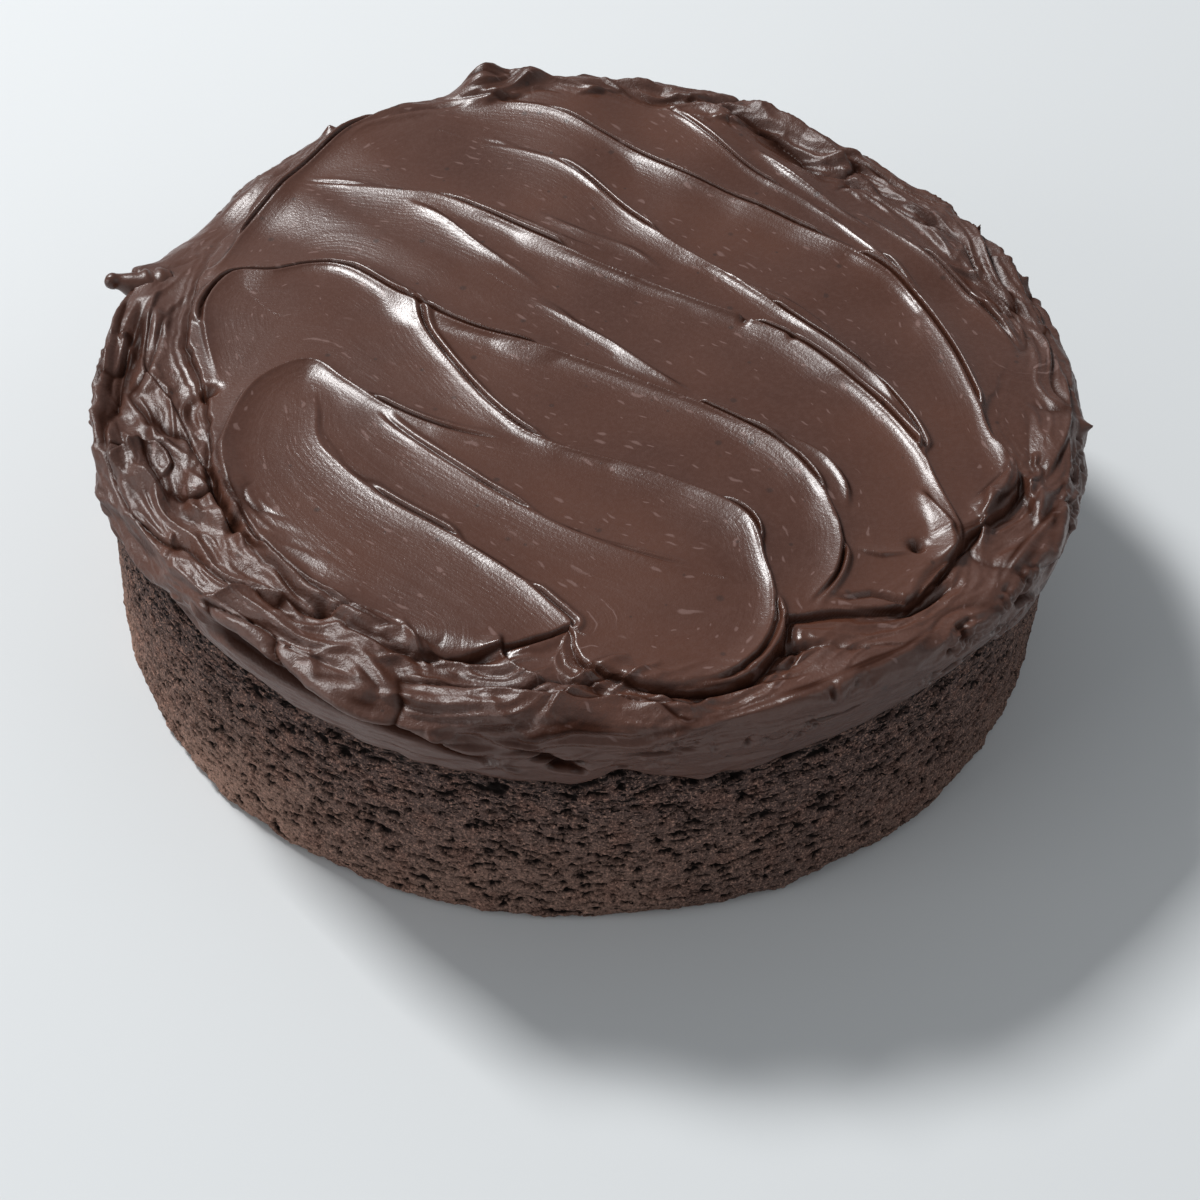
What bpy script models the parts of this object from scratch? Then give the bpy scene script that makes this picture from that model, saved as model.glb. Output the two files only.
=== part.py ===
"""An uncut, single-layer chocolate cake: a straight-sided sponge under swirled chocolate frosting.

The sponge stands on its flat base at z = 0, centred on the z axis. The cake's front faces -Y.
Sizes are in millimetres and are scaled to metres when a mesh is made.
Angles are in degrees round the z axis: 0 is the right side, 90 the back and -90 the front.
"""

import itertools
import math

import bmesh
import bpy
import numpy as np

MM = 0.001
SEED = 8

# Sponge, baked in a 200 mm round tin
SPONGE_RADIUS = 100.0
SPONGE_TOP_RADIUS = 99.4
SPONGE_HEIGHT = 52.0
SPONGE_EDGE_ROUND = 3.5
SPONGE_EDGE_STEPS = 3
SPONGE_FOOT_ROUND = 1.2
SPONGE_SIDES = 72
SPONGE_ROWS = 12
SPONGE_RIPPLE = 0.35
RIPPLE_WAVES = (5, 11, 17, 26)
RIPPLE_TURN = (0.05, 0.3)  # how much the waves slant, in radians a millimetre
SIDE_START = 90.0  # points further from the axis than this are on the side
CHIP_HEIGHT = 6.0
COVERED = 3.0  # the side is left plain down to this far below the frosting's edge
# Where the foot of the side is chipped: angle, half-width in degrees, depth
FOOT_CHIPS = ((-81, 4, 1.6), (-70, 5, 1.2), (-58, 7, 1.8), (-45, 5, 1.3), (-37, 4, 2.0), (150, 8, 1.2))

# Frosting
GAP = 0.3
TOP_CENTRE = 61.0
SHOULDER_START = 95.0
SHOULDER_DROP = 6.5
SHOULDER_LENGTH = 12.0
TOP_FALL_POWER = 2.5  # how late the top falls or rises to the rim's height
SIDE_TAPER_POWER = 1.5  # how late the side closes in on the sponge
RELIEF_END = 0.55  # share of the side where the swirls start to fade out
EDGE_THICKNESS = 1.5
EDGE_ROUND = 1.2
EDGE_ROUND_SHARE = 1 / 6  # share of the underside that the rounded lower edge takes
UNDERSIDE_LIFT = 2.0
# Height of the top where the shoulder starts, round the cake
RIM_TOP = (
    (-90, 60.5), (-60, 60.0), (-30, 59.0), (0, 58.0), (18, 56.5), (30, 59.5), (45, 58.5), (58, 60.5),
    (72, 64.0), (82, 63.0), (94, 65.5), (112, 61.5), (125, 61.5), (139, 58.5), (151, 54.5),
    (165, 57.5), (185, 58.0), (215, 59.5), (240, 60.0),
)
# How round the shoulder is, round the cake: 1 is an elliptical arc, and less is squarer
SHOULDER_SQUARENESS = ((-130, 1.0), (-105, 0.6), (-80, 0.45), (-50, 0.45), (-25, 0.7), (0, 1.0), (180, 1.0))
# Outermost radius of the frosted side, round the cake
SIDE_RADIUS = (
    (-90, 102.8), (-60, 103.0), (-35, 103.8), (-15, 103.4), (-5, 102.9), (10, 103.3), (50, 102.6),
    (90, 102.6), (130, 102.2), (160, 101.6), (190, 101.4), (215, 102.0), (240, 103.2),
)
# Height of the frosting's lower edge, round the cake
LOWER_EDGE = (
    (-100, 42.5), (-90, 43.0), (-85, 47.0), (-81, 44.0), (-76, 42.5), (-60, 45.0), (-42, 46.5),
    (-30, 39.5), (-18, 35.5), (-5, 38.0), (20, 44.0), (55, 41.0), (90, 44.5), (125, 41.5),
    (160, 43.5), (182, 40.5), (200, 41.0), (210, 47.0), (220, 51.0), (230, 48.0), (240, 46.0), (250, 43.0),
)

# Crests left by the spatula: (x, y, height, width) along each, seen from above.
# The long hollow slope is on the right of the way it runs, and the short drop on the left.
CRESTS = (
    ((-40, 90, 0, 8), (-15, 85, 1.0, 8), (0, 75, 1.6, 8), (20, 60, 2.1, 9), (40, 48, 2.2, 9), (58, 35, 2.2, 9),
     (67, 25, 2.1, 9), (73.5, 9, 2.1, 8), (78, -7, 1.9, 7), (80, -19, 1.5, 6), (83, -29, 1.4, 4),
     (81, -37, 1.2, 3.5), (74, -46, 0.8, 3.5), (66, -50, 0, 4)),
    ((14, 90, 0, 6), (20, 83, 0.8, 7), (33, 67, 1.3, 8), (50, 53, 1.4, 8), (63, 36.5, 1.1, 7), (69, 26, 0, 6)),
    ((58, 56, 0, 5), (65, 48, 0.8, 6), (75, 36, 1.1, 6), (85, 21, 1.0, 5), (90, 10, 0, 4)),
    ((-30, 75, 0, 6), (-8, 64, 0.8, 7), (10, 43, 1.7, 8), (30, 25, 1.9, 11), (50, 4, 1.9, 12),
     (60, -9, 1.7, 10), (66, -22, 1.0, 8), (67, -36, 0, 6)),
    ((-66, 58, 0, 6), (-56, 56, 1.0, 9), (-42, 52.5, 1.5, 10), (-33, 50, 1.8, 10), (-15, 38, 2.1, 10),
     (0, 28, 2.2, 10), (20, 17, 2.2, 10), (40, 6, 2.2, 10), (55, -10, 2.1, 9), (64, -24, 1.9, 8),
     (69, -38, 1.7, 7), (71.5, -48, 1.3, 4), (68, -57, 1.2, 3.5), (58, -68.5, 0.9, 3.5), (46, -69, 0, 3.5)),
    ((-74, -14, 0, 4), (-79, 3, 1.0, 4), (-80, 14, 1.3, 4), (-76, 23, 1.4, 5), (-68, 24, 1.2, 7),
     (-60, 27, 1.6, 9), (-52, 25, 1.9, 9), (-37, 11.5, 1.9, 9), (-25, 4, 2.0, 9), (-10, -1.5, 2.1, 9),
     (10, -11, 2.1, 9), (25, -19, 2.1, 9), (38, -28.5, 2.1, 8), (45, -39, 1.9, 7), (48.5, -50, 1.6, 5),
     (47.5, -61, 1.2, 4), (42, -70, 0, 4)),
    ((-41, 20, 0, 4), (-38, 13, 0.7, 5), (-33, 1, 1.0, 6), (-20, -19, 1.2, 7), (-8, -30, 1.3, 8),
     (10, -36.5, 1.5, 8), (22, -42.5, 1.8, 9), (31, -49, 1.9, 7), (34, -60, 1.4, 5), (35.5, -68, 1.2, 3.5),
     (34, -79, 1.2, 3.5), (27, -88, 1.1, 3.5), (14, -91, 1.0, 3.5), (2, -87, 0, 3.5)),
    ((-31, -82, 0, 4), (-42, -75.5, 1.0, 4), (-53, -66, 1.2, 4), (-62, -55, 1.3, 4), (-69, -40, 1.5, 5),
     (-70, -28, 1.7, 6), (-66, -14, 1.8, 6), (-57, -7.5, 1.9, 6), (-49, -13.5, 1.6, 6),
     (-40, -21, 1.2, 6), (-28, -27, 0.8, 6), (-12, -31, 0, 5)),
    ((-42, -22, 0, 4), (-38, -27, 0.5, 5), (-28, -36, 0.8, 6), (-15, -46.5, 0.9, 7), (0, -56, 0.9, 7),
     (12, -61, 0.7, 6), (22, -63.5, 0, 5)),
    ((-55, -16, 0, 5), (-54, -22, 0.6, 5), (-52, -32, 0.9, 6), (-40, -46, 1.2, 7), (-25, -57, 1.5, 8),
     (-12, -67.5, 1.6, 8), (-3, -78.5, 1.2, 5), (1, -82, 0.5, 2.5)),
    ((-82, 22, 0, 4), (-79, 30, 0.9, 4), (-76, 43, 1.3, 4), (-70, 55, 1.3, 4), (-64, 65, 1.2, 4),
     (-56, 77, 1.1, 4), (-46, 86, 1.0, 4), (-34, 95, 0, 4)),
    ((-14, 18, 0, 4), (-5, 10, 0.8, 5), (5, 1.5, 1.2, 6), (14, -7, 1.1, 6), (21, -12, 0, 5)),
)
CREST_SLOPE_REACH = 1.4  # how far the hollow slope runs, in widths
CREST_SLOPE_POWER = 3.5
CREST_LIP = 0.7  # part of a crest's height that drops steeply
CREST_LIP_WIDTH = 1.1
CREST_BACK_WIDTH = 5.0

# The raised middle that the strokes leave, as (x, y, drop to the rim beyond it)
PLATEAU = (
    (80, -14, 0.6), (85, -29, 2.2), (82, -39, 2.6), (74, -48, 2.6), (69, -59, 2.8), (58, -71, 2.8),
    (46, -72, 2.4), (38, -73, 2.4), (36, -80, 2.8), (28, -90, 2.8), (14, -93, 2.4), (3, -88, 2.0),
    (-3, -81, 2.4), (-14, -84, 2.4), (-31, -84, 1.8), (-44, -77, 1.4), (-55, -67, 1.6), (-64, -56, 1.8),
    (-71, -40, 2.0), (-73, -26, 2.0), (-77, -12, 1.8), (-82, 3, 1.8), (-83, 15, 1.4), (-82, 30, 0.8),
    (-79, 44, 0.6), (-67, 67, 0.5), (-48, 88, 0.3), (-20, 97, 0), (30, 84, 0), (62, 62, 0),
    (84, 34, 0), (88, 10, 0),
)
PLATEAU_EDGE = 1.6
PLATEAU_REACH = 14.0
# The moat just outside the raised middle: part of the drop, distance and half width
PLATEAU_MOAT = 0.35
PLATEAU_MOAT_PLACE = 1.9
PLATEAU_MOAT_WIDTH = 1.2

# Torn folds round the rim: seeded short ridges that run mostly along it
FOLDS = 96
FOLD_RADIUS = (88.0, 112.0)
FOLD_LENGTH = (8.0, 24.0)
FOLD_HEIGHT = (0.5, 1.5)
FOLD_WIDTH = (1.6, 3.2)
FOLD_SLANT = 28.0
FOLD_STEEP_SIDE = 0.4  # width of a fold's steep side, as a part of its round side
# Rise and fall along a fold: share of its length from the middle, part of its height
FOLD_STATIONS = ((-0.5, 0.0), (-0.2, 1.0), (0.2, 1.0), (0.5, 0.0))
# Stretches of the rim with no torn folds: from and to, in degrees
SMOOTH_RIM = ((-78, -34), (-12, 12), (150, 178))

# Strands drawn out along the rim: length, width and height of each layer
TORN_LAYERS = ((32.0, 4.2, 2.4), (19.0, 2.2, 1.2))
TORN_SHARPNESS = 3
TORN_ROUND = 0.1  # rounds the strands' sharp crests
TORN_LEVEL = 0.4  # part of a strand's height that lies below the plain surface
TORN_BEND = 4.5
TORN_BEND_SIZE = 17.0
TORN_FADE_IN = 8.0
TORN_FADE_OUT = 5.0
# How much of the strands shows, and how far from the centre they start and end, round the cake
TORN_AMOUNT = (
    (-90, 0.8), (-60, 0.5), (-40, 0.45), (-20, 0.5), (0, 0.6), (20, 1.0), (45, 1.1), (70, 0.8), (90, 0.6),
    (120, 0.5), (150, 0.3), (170, 0.5), (190, 1.1), (230, 1.2), (250, 1.0),
)
TORN_START = (
    (-90, 86), (-70, 88), (-45, 85), (0, 89), (45, 82), (90, 88), (150, 91), (180, 80), (200, 75),
    (230, 76), (250, 84),
)
TORN_END = (
    (-125, 112), (-108, 108), (-92, 103), (-60, 102), (-40, 103), (-20, 106), (0, 110), (20, 112), (90, 112),
    (180, 112),
)

# Ridges placed one by one round the rim, as CRESTS
RIM_RIDGES = (
    ((-34, -90, 0, 3), (-18, -95.5, 1.4, 4), (0, -98, 1.6, 4), (10, -96, 1.3, 4), (20, -100, 1.5, 4),
     (30, -97, 1.4, 4), (45, -90, 1.2, 4), (58, -82, 1.2, 4), (68, -72, 0, 4)),
    ((78, -62, 0, 3), (84, -52, 1.6, 4), (93, -38, 1.8, 4), (96, -28, 0, 4)),
    ((-14.4, -81, 0, 2), (-14.5, -84, 1.4, 2.5), (-13, -88, 1.7, 3), (-9, -92, 1.7, 3), (-3, -94, 1.3, 3),
     (5, -94.5, 0, 2)),
    ((-7, -101, 0, 1.5), (-4, -99.5, 1.2, 1.6), (0, -95.5, 1.4, 1.8), (4.6, -92.4, 1.0, 1.6),
     (8, -91.5, 1.2, 1.6), (13.6, -94.6, 1.3, 1.8), (20.5, -97, 1.2, 1.8), (25, -94.2, 1.2, 1.8),
     (34, -91, 1.0, 1.6), (44, -87, 0, 1.5)),
    ((28, -97, 0, 1.5), (38, -93, 1.0, 1.6), (50, -86.5, 1.2, 1.8), (60, -80, 1.1, 1.6), (68, -72, 0, 1.5)),
    ((36, 76, 0, 3), (44, 70, 1.6, 4), (54, 62, 1.6, 4), (63, 48, 0, 4)),
    ((24, 94, 0, 3), (32, 86, 1.4, 4), (46, 82, 1.8, 4), (58, 76, 0, 3)),
    ((-99, 30, 0, 3), (-99, 12, 2.0, 3), (-98.5, -6, 2.2, 3), (-97.5, -22, 1.6, 3), (-94, -38, 0, 3)),
    ((-86, 8, 0, 3), (-88, -4, 1.4, 4), (-85, -14, 1.6, 4), (-80, -26, 1.4, 4), (-78, -42, 1.4, 4),
     (-70, -58, 0, 3)),
)

# Grooves between the folds: (x, y, depth, half width) along each
GROOVES = (
    ((-95, 16, 0, 1.5), (-94, 4, 2.6, 2.3), (-94.5, -11, 3.2, 2.5), (-95.5, -24, 2.0, 1.6), (-93, -35, 0, 1.2)),
    ((-74, -28, 0, 1.0), (-73, -38, 1.6, 1.4), (-68, -51, 2.0, 1.5), (-60, -63, 1.4, 1.2), (-46, -76, 0, 1.0)),
    ((-33, -86, 0, 0.8), (-24, -86.5, 1.6, 1.2), (-16, -87, 1.2, 1.2), (-10, -85, 0, 0.8)),
    ((34, 78, 0, 1.5), (42, 76, 1.6, 2.0), (50, 70, 1.6, 1.6), (57, 62, 0, 1.2)),
)

# Small hollows torn in the frosting: x, y, radius, depth
HOLLOWS = (
    (64.5, -52, 1.6, 2.2), (-77, -16, 2.2, 2.4), (-66, -56, 1.8, 2.0), (-71, -43, 1.6, 1.8),
)

# Tips pulled up by the spatula: angle, distance along the surface from the centre, spread, outward, up
PULLED_TIPS = (
    (106.5, 98.5, 3.9, 0.5, 5.0), (100, 99, 3.2, 0.5, 3.8), (128, 100.5, 1.8, 0.8, 1.4), (163.5, 101.5, 2.0, 2.2, 1.4),
    (31.5, 102.3, 1.6, 0.6, 2.6), (22.5, 104, 1.5, 0.8, 1.4), (-5.6, 103, 1.8, 2.2, 0.4), (60, 101, 3.4, 0.8, 1.6),
)

# The overhanging flap on the front left: from and to in degrees, and how far it stands out
FLAP_SPAN = (-130.0, -97.0)
FLAP_STEP = 1.0
FLAP_EDGE = 1.2
FLAP_GROOVE = 1.5
FLAP_GROOVE_PLACE = 1.4
FLAP_GROOVE_WIDTH = 1.3
FLAP_HEIGHT_LEFT = 59.0
FLAP_HEIGHT_RIGHT = 53.5
FLAP_LEAN = 0.9  # the flap is made only where the surface leans more than this, in radians
FLAP_END = 0.15  # share of the flap's span over which it fades in or out

# Hash of the noise's lattice
HASH_START = 2654435761
HASH_SHIFT = 1000
HASH_FACTOR = 668265263
HASH_BITS = 0xFFFFFFFF

# Colour, roughness and specular level
SPONGE_LOOK = ((0.035, 0.021, 0.016), 0.9, 0.25)
FROSTING_LOOK = ((0.075, 0.034, 0.026), 0.38, 0.5)

# Mesh fineness
LINE_SPACING = 2.5
NARROWEST = 1.0
MERGE_DISTANCE = 0.00005  # in metres
SHARP_ANGLE = 40.0
LUMP_SIDES = 400
LUMP_RINGS = 140
TOP_SHARE = 0.70
SHOULDER_SHARE = 0.81
SIDE_SHARE = 0.94
FROSTING_DETAIL = 0.094


def smooth_step(value):
    value = np.clip(value, 0.0, 1.0)
    return value * value * (3.0 - 2.0 * value)


def around(angle, table):
    """The value that a table of (degrees, value) gives at these angles, easing from entry to entry."""
    entries = sorted((a % 360.0, v) for a, v in table)
    angles = np.array([entries[-1][0] - 360.0] + [a for a, _ in entries] + [entries[0][0] + 360.0])
    values = np.array([entries[-1][1]] + [v for _, v in entries] + [entries[0][1]])
    angle = np.asarray(angle) % 360.0
    after = np.clip(np.searchsorted(angles, angle, side="right"), 1, len(angles) - 1)
    share = smooth_step((angle - angles[after - 1]) / (angles[after] - angles[after - 1]))
    return values[after - 1] * (1.0 - share) + values[after] * share


def noise(points, seed):
    """Smooth noise from -1 to 1, with one feature for each unit of distance."""
    cell = np.floor(points).astype(np.int64)
    share = smooth_step(points - cell)
    total = np.zeros(len(points))
    for corner in itertools.product((0, 1), repeat=points.shape[1]):
        weight = np.ones(len(points))
        mixed = np.full(len(points), seed * HASH_START, np.int64)
        for axis, step in enumerate(corner):
            weight *= share[:, axis] if step else 1.0 - share[:, axis]
            mixed = (mixed ^ (cell[:, axis] + step + HASH_SHIFT)) * HASH_FACTOR & HASH_BITS
            mixed ^= mixed >> 15
        total += weight * ((mixed & 0xFFFF) / 0x7FFF - 1.0)
    return total


def smooth_line(points, closed=False):
    """Points read every few millimetres from a Catmull-Rom curve through the given ones."""
    points = np.array(points, float)
    if closed:
        ends = np.vstack([points[-1], points, points[0], points[1]])
    else:
        ends = np.vstack([2 * points[0] - points[1], points, 2 * points[-1] - points[-2]])
    line = []
    for before, start, end, after in zip(ends, ends[1:], ends[2:], ends[3:]):
        count = max(2, int(np.hypot(*(end - start)[:2]) / LINE_SPACING))
        for t in np.arange(count) / count:
            line.append(0.5 * (2 * start + (end - before) * t
                               + (2 * before - 5 * start + 4 * end - after) * t ** 2
                               + (3 * start - before - 3 * end + after) * t ** 3))
    line.append(ends[-2])
    return np.array(line)


def beside(line, x, y):
    """Distance to the line's nearest point, positive on its right, and what the line holds there."""
    nearest = np.full(len(x), np.inf)
    side = np.ones(len(x))
    held = np.zeros((len(x), line.shape[1] - 2))
    for start, end in zip(line, line[1:]):
        run = end - start
        length2 = run[0] ** 2 + run[1] ** 2
        share = np.clip(((x - start[0]) * run[0] + (y - start[1]) * run[1]) / length2, 0.0, 1.0)
        across_x = x - start[0] - share * run[0]
        across_y = y - start[1] - share * run[1]
        distance = across_x ** 2 + across_y ** 2
        closer = distance < nearest
        nearest[closer] = distance[closer]
        side[closer] = np.where(across_x[closer] * run[1] - across_y[closer] * run[0] >= 0, 1.0, -1.0)
        held[closer] = start[2:] + share[closer, None] * run[2:]
    return np.sqrt(nearest) * side, held


def crest_height(distance, height, width):
    """A spatula crest's cross-section: a hollow slope on the right, a steep lip on the left."""
    slope = np.clip(1.0 - distance / (CREST_SLOPE_REACH * width), 0.0, 1.0) ** CREST_SLOPE_POWER
    lip = smooth_step(1.0 + distance / CREST_LIP_WIDTH)
    back = np.clip(1.0 + distance / CREST_BACK_WIDTH, 0.0, 1.0) ** 2
    return height * np.where(distance >= 0, slope, CREST_LIP * lip + (1.0 - CREST_LIP) * back)


def add_crest(relief, x, y, points, profile):
    """Adds one crest to the relief at the points near it."""
    line = smooth_line(points)
    reach = max(line[:, 3].max() * CREST_SLOPE_REACH, CREST_BACK_WIDTH)
    near = ((x > line[:, 0].min() - reach) & (x < line[:, 0].max() + reach)
            & (y > line[:, 1].min() - reach) & (y < line[:, 1].max() + reach))
    if near.any():
        distance, held = beside(line, x[near], y[near])
        relief[near] += profile(distance, np.maximum(held[:, 0], 0.0), np.maximum(held[:, 1], NARROWEST))


def fold_height(distance, height, width):
    """A torn fold's cross-section: steep on one side, rounder on the other."""
    round_side = np.exp(-(distance / width) ** 2)
    steep_side = np.exp(-(distance / (FOLD_STEEP_SIDE * width)) ** 2)
    return height * np.where(distance >= 0, round_side, steep_side)


def rim_folds():
    """The torn folds round the rim, each as a short crest."""
    rng = np.random.default_rng(SEED)
    for _ in range(FOLDS):
        angle = rng.uniform(-180.0, 180.0)
        radius = rng.uniform(*FOLD_RADIUS)
        length = rng.uniform(*FOLD_LENGTH)
        height = rng.uniform(*FOLD_HEIGHT)
        width = rng.uniform(*FOLD_WIDTH)
        slant = math.radians(rng.uniform(-FOLD_SLANT, FOLD_SLANT))
        if any(start < angle < end for start, end in SMOOTH_RIM):
            continue
        points = []
        for share, part in FOLD_STATIONS:
            turn = math.radians(angle) + share * length * math.cos(slant) / radius
            out = radius + share * length * math.sin(slant)
            points.append((out * math.cos(turn), out * math.sin(turn), part * height, width))
        yield points


def plateau_drop(x, y):
    """How far the rim lies below the raised middle, deepest just outside its edge."""
    outline = smooth_line(PLATEAU, closed=True)
    distance, held = beside(outline, x, y)
    outside = -distance
    fall = smooth_step(outside / PLATEAU_EDGE) * (1.0 - smooth_step(outside / PLATEAU_REACH))
    moat = PLATEAU_MOAT * np.exp(-((outside - PLATEAU_MOAT_PLACE) / PLATEAU_MOAT_WIDTH) ** 2)
    return np.maximum(held[:, 0], 0.0) * (fall + moat)


def torn_rim(angle, along):
    """Height of the stringy torn surface round the rim: sharp noise ridges drawn out along it."""
    turn = np.radians(angle)
    place = np.stack([SHOULDER_START * np.cos(turn), SHOULDER_START * np.sin(turn), along], 1)
    sway = [noise(place / TORN_BEND_SIZE, SEED + axis) for axis in range(3)]
    bent = place + TORN_BEND * np.stack(sway, 1)
    strands = np.zeros(len(angle))
    for layer, (length, width, height) in enumerate(TORN_LAYERS):
        ridge = 1.0 - np.hypot(noise(bent / (length, length, width), SEED - 1 - layer), TORN_ROUND)
        strands += height * (ridge ** TORN_SHARPNESS - TORN_LEVEL)
    start = smooth_step((along - around(angle, TORN_START)) / TORN_FADE_IN)
    end = 1.0 - smooth_step((along - around(angle, TORN_END)) / TORN_FADE_OUT)
    return strands * start * end * around(angle, TORN_AMOUNT)


def top_relief(x, y):
    """Height of the swirls above the plain frosting, on the surface laid out flat."""
    relief = np.zeros(len(x))
    for points in CRESTS + RIM_RIDGES:
        add_crest(relief, x, y, points, crest_height)
    for points in rim_folds():
        add_crest(relief, x, y, points, fold_height)
    for groove in GROOVES:
        distance, held = beside(smooth_line(groove), x, y)
        relief -= np.maximum(held[:, 0], 0.0) * np.exp(-(distance / np.maximum(held[:, 1], NARROWEST)) ** 2)
    for hollow_x, hollow_y, radius, depth in HOLLOWS:
        relief -= depth * np.exp(-((x - hollow_x) ** 2 + (y - hollow_y) ** 2) / radius ** 2)
    return relief - plateau_drop(x, y)


def flap_step(angle, z):
    """How far the overhanging flap on the front left stands out from the band below it."""
    start, end = FLAP_SPAN
    share = (angle - start) / (end - start)
    edge = FLAP_HEIGHT_LEFT + (FLAP_HEIGHT_RIGHT - FLAP_HEIGHT_LEFT) * np.clip(share, 0.0, 1.0)
    ends = smooth_step(share / FLAP_END) * smooth_step((1.0 - share) / FLAP_END)
    above = z - edge
    groove = np.exp(-((above + FLAP_GROOVE_PLACE) / FLAP_GROOVE_WIDTH) ** 2)
    return ends * (FLAP_STEP * smooth_step(0.5 + above / FLAP_EDGE) - FLAP_GROOVE * groove)


def plain_frosting(share, angle):
    """The frosting without swirls: point, outward direction and distance along the surface from the centre."""
    rim = around(angle, RIM_TOP)
    side = around(angle, SIDE_RADIUS)
    edge = around(angle, LOWER_EDGE)
    edge_radius = SPONGE_TOP_RADIUS + GAP + EDGE_THICKNESS

    top = np.clip(share / TOP_SHARE, 0.0, 1.0)
    radius = SHOULDER_START * top
    height = TOP_CENTRE + (rim - TOP_CENTRE) * top ** TOP_FALL_POWER
    along = SHOULDER_START * top

    turn = np.clip((share - TOP_SHARE) / (SHOULDER_SHARE - TOP_SHARE), 0.0, 1.0)
    squareness = around(angle, SHOULDER_SQUARENESS)
    start_pull = turn ** (1.0 / squareness)
    end_pull = (1.0 - turn) ** (1.0 / squareness)
    lean = math.pi / 2 * start_pull / (start_pull + end_pull)
    radius = radius + (side - SHOULDER_START) * np.sin(lean) ** squareness
    height = height - SHOULDER_DROP * (1.0 - np.cos(lean) ** squareness)
    along = along + SHOULDER_LENGTH * turn

    down = np.clip((share - SHOULDER_SHARE) / (SIDE_SHARE - SHOULDER_SHARE), 0.0, 1.0)
    fall = (rim - SHOULDER_DROP - edge) * down
    radius = radius - (side - edge_radius) * down ** SIDE_TAPER_POWER
    height = height - fall
    along = along + fall

    under = np.clip((share - SIDE_SHARE) / (1.0 - SIDE_SHARE), 0.0, 1.0)
    rounding = np.sin(np.clip(under / EDGE_ROUND_SHARE, 0.0, 1.0) * math.pi)
    height = height - EDGE_ROUND * rounding + UNDERSIDE_LIFT * under
    radius = radius * (1.0 - under)
    return radius, height, lean, along, down, under


def press_frosting(directions):
    """Moves the points of a unit sphere to the frosted surface."""
    angle = np.degrees(np.arctan2(directions[:, 1], directions[:, 0]))
    share = np.arccos(np.clip(directions[:, 2], -1.0, 1.0)) / math.pi
    radius, height, lean, along, down, under = plain_frosting(share, angle)
    cosine = np.cos(np.radians(angle))
    sine = np.sin(np.radians(angle))

    relief = top_relief(along * cosine, along * sine) + torn_rim(angle, along)
    relief = relief * (1.0 - smooth_step((down - RELIEF_END) / (1.0 - RELIEF_END)))
    relief = relief + flap_step(angle, height) * (lean > FLAP_LEAN) * (under <= 0)
    outward = relief * np.sin(lean)
    upward = relief * np.cos(lean)
    for tip_angle, tip_along, spread, out, up in PULLED_TIPS:
        offset = along * np.exp(1j * np.radians(angle)) - tip_along * np.exp(1j * math.radians(tip_angle))
        pull = np.exp(-0.5 * (np.abs(offset) / spread) ** 2) * (under <= 0)
        outward = outward + out * pull
        upward = upward + up * pull

    radius = radius + outward
    return np.stack([radius * cosine, radius * sine, height + upward], axis=1)


def move_points(mesh, change):
    """Applies a function of an array of points to a mesh's vertices."""
    flat = np.empty(len(mesh.vertices) * 3)
    mesh.vertices.foreach_get("co", flat)
    mesh.vertices.foreach_set("co", np.ravel(change(flat.reshape(-1, 3))))
    mesh.update()


def material(name, colour, roughness, specular):
    made = bpy.data.materials.new(name)
    made.use_nodes = True
    shader = made.node_tree.nodes["Principled BSDF"]
    shader.inputs["Base Color"].default_value = (*colour, 1.0)
    shader.inputs["Roughness"].default_value = roughness
    shader.inputs["Metallic"].default_value = 0.0
    shader.inputs["Specular IOR Level"].default_value = specular
    made.diffuse_color = (*colour, 1.0)
    return made


def turned(name, profile, collection):
    """A solid of revolution: the profile runs from the top on the axis, down the outside and back in."""
    mesh = bpy.data.meshes.new(name)
    points = [(radius * MM, 0.0, z * MM) for radius, z in profile]
    mesh.from_pydata(points, [(i, i + 1) for i in range(len(points) - 1)], [])
    made = bpy.data.objects.new(name, mesh)
    collection.objects.link(made)
    screw = made.modifiers.new("turn", "SCREW")
    screw.steps = SPONGE_SIDES
    screw.render_steps = SPONGE_SIDES
    screw.use_merge_vertices = True
    screw.merge_threshold = MERGE_DISTANCE
    return made


def sponge_profile(grow=0.0):
    """Radius and height down the sponge's outline, grown outwards by a gap for the cutter."""
    top = SPONGE_HEIGHT + grow
    shoulder = SPONGE_TOP_RADIUS - SPONGE_EDGE_ROUND
    start = SPONGE_HEIGHT - SPONGE_EDGE_ROUND
    end = SPONGE_FOOT_ROUND
    profile = [(0.0, top), (0.5 * shoulder, top), (shoulder, top)]
    for step in range(1, SPONGE_EDGE_STEPS + 1):
        lean = math.pi / 2 * step / SPONGE_EDGE_STEPS
        reach = SPONGE_EDGE_ROUND + grow
        profile.append((shoulder + reach * math.sin(lean), start + reach * math.cos(lean)))
    for row in range(1, SPONGE_ROWS + 1):
        share = row / SPONGE_ROWS
        radius = SPONGE_TOP_RADIUS + (SPONGE_RADIUS - SPONGE_TOP_RADIUS) * share + grow
        profile.append((radius, start + (end - start) * share))
    profile += [(SPONGE_RADIUS - SPONGE_FOOT_ROUND + grow, 0.0), (0.0, 0.0)]
    return profile


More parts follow.
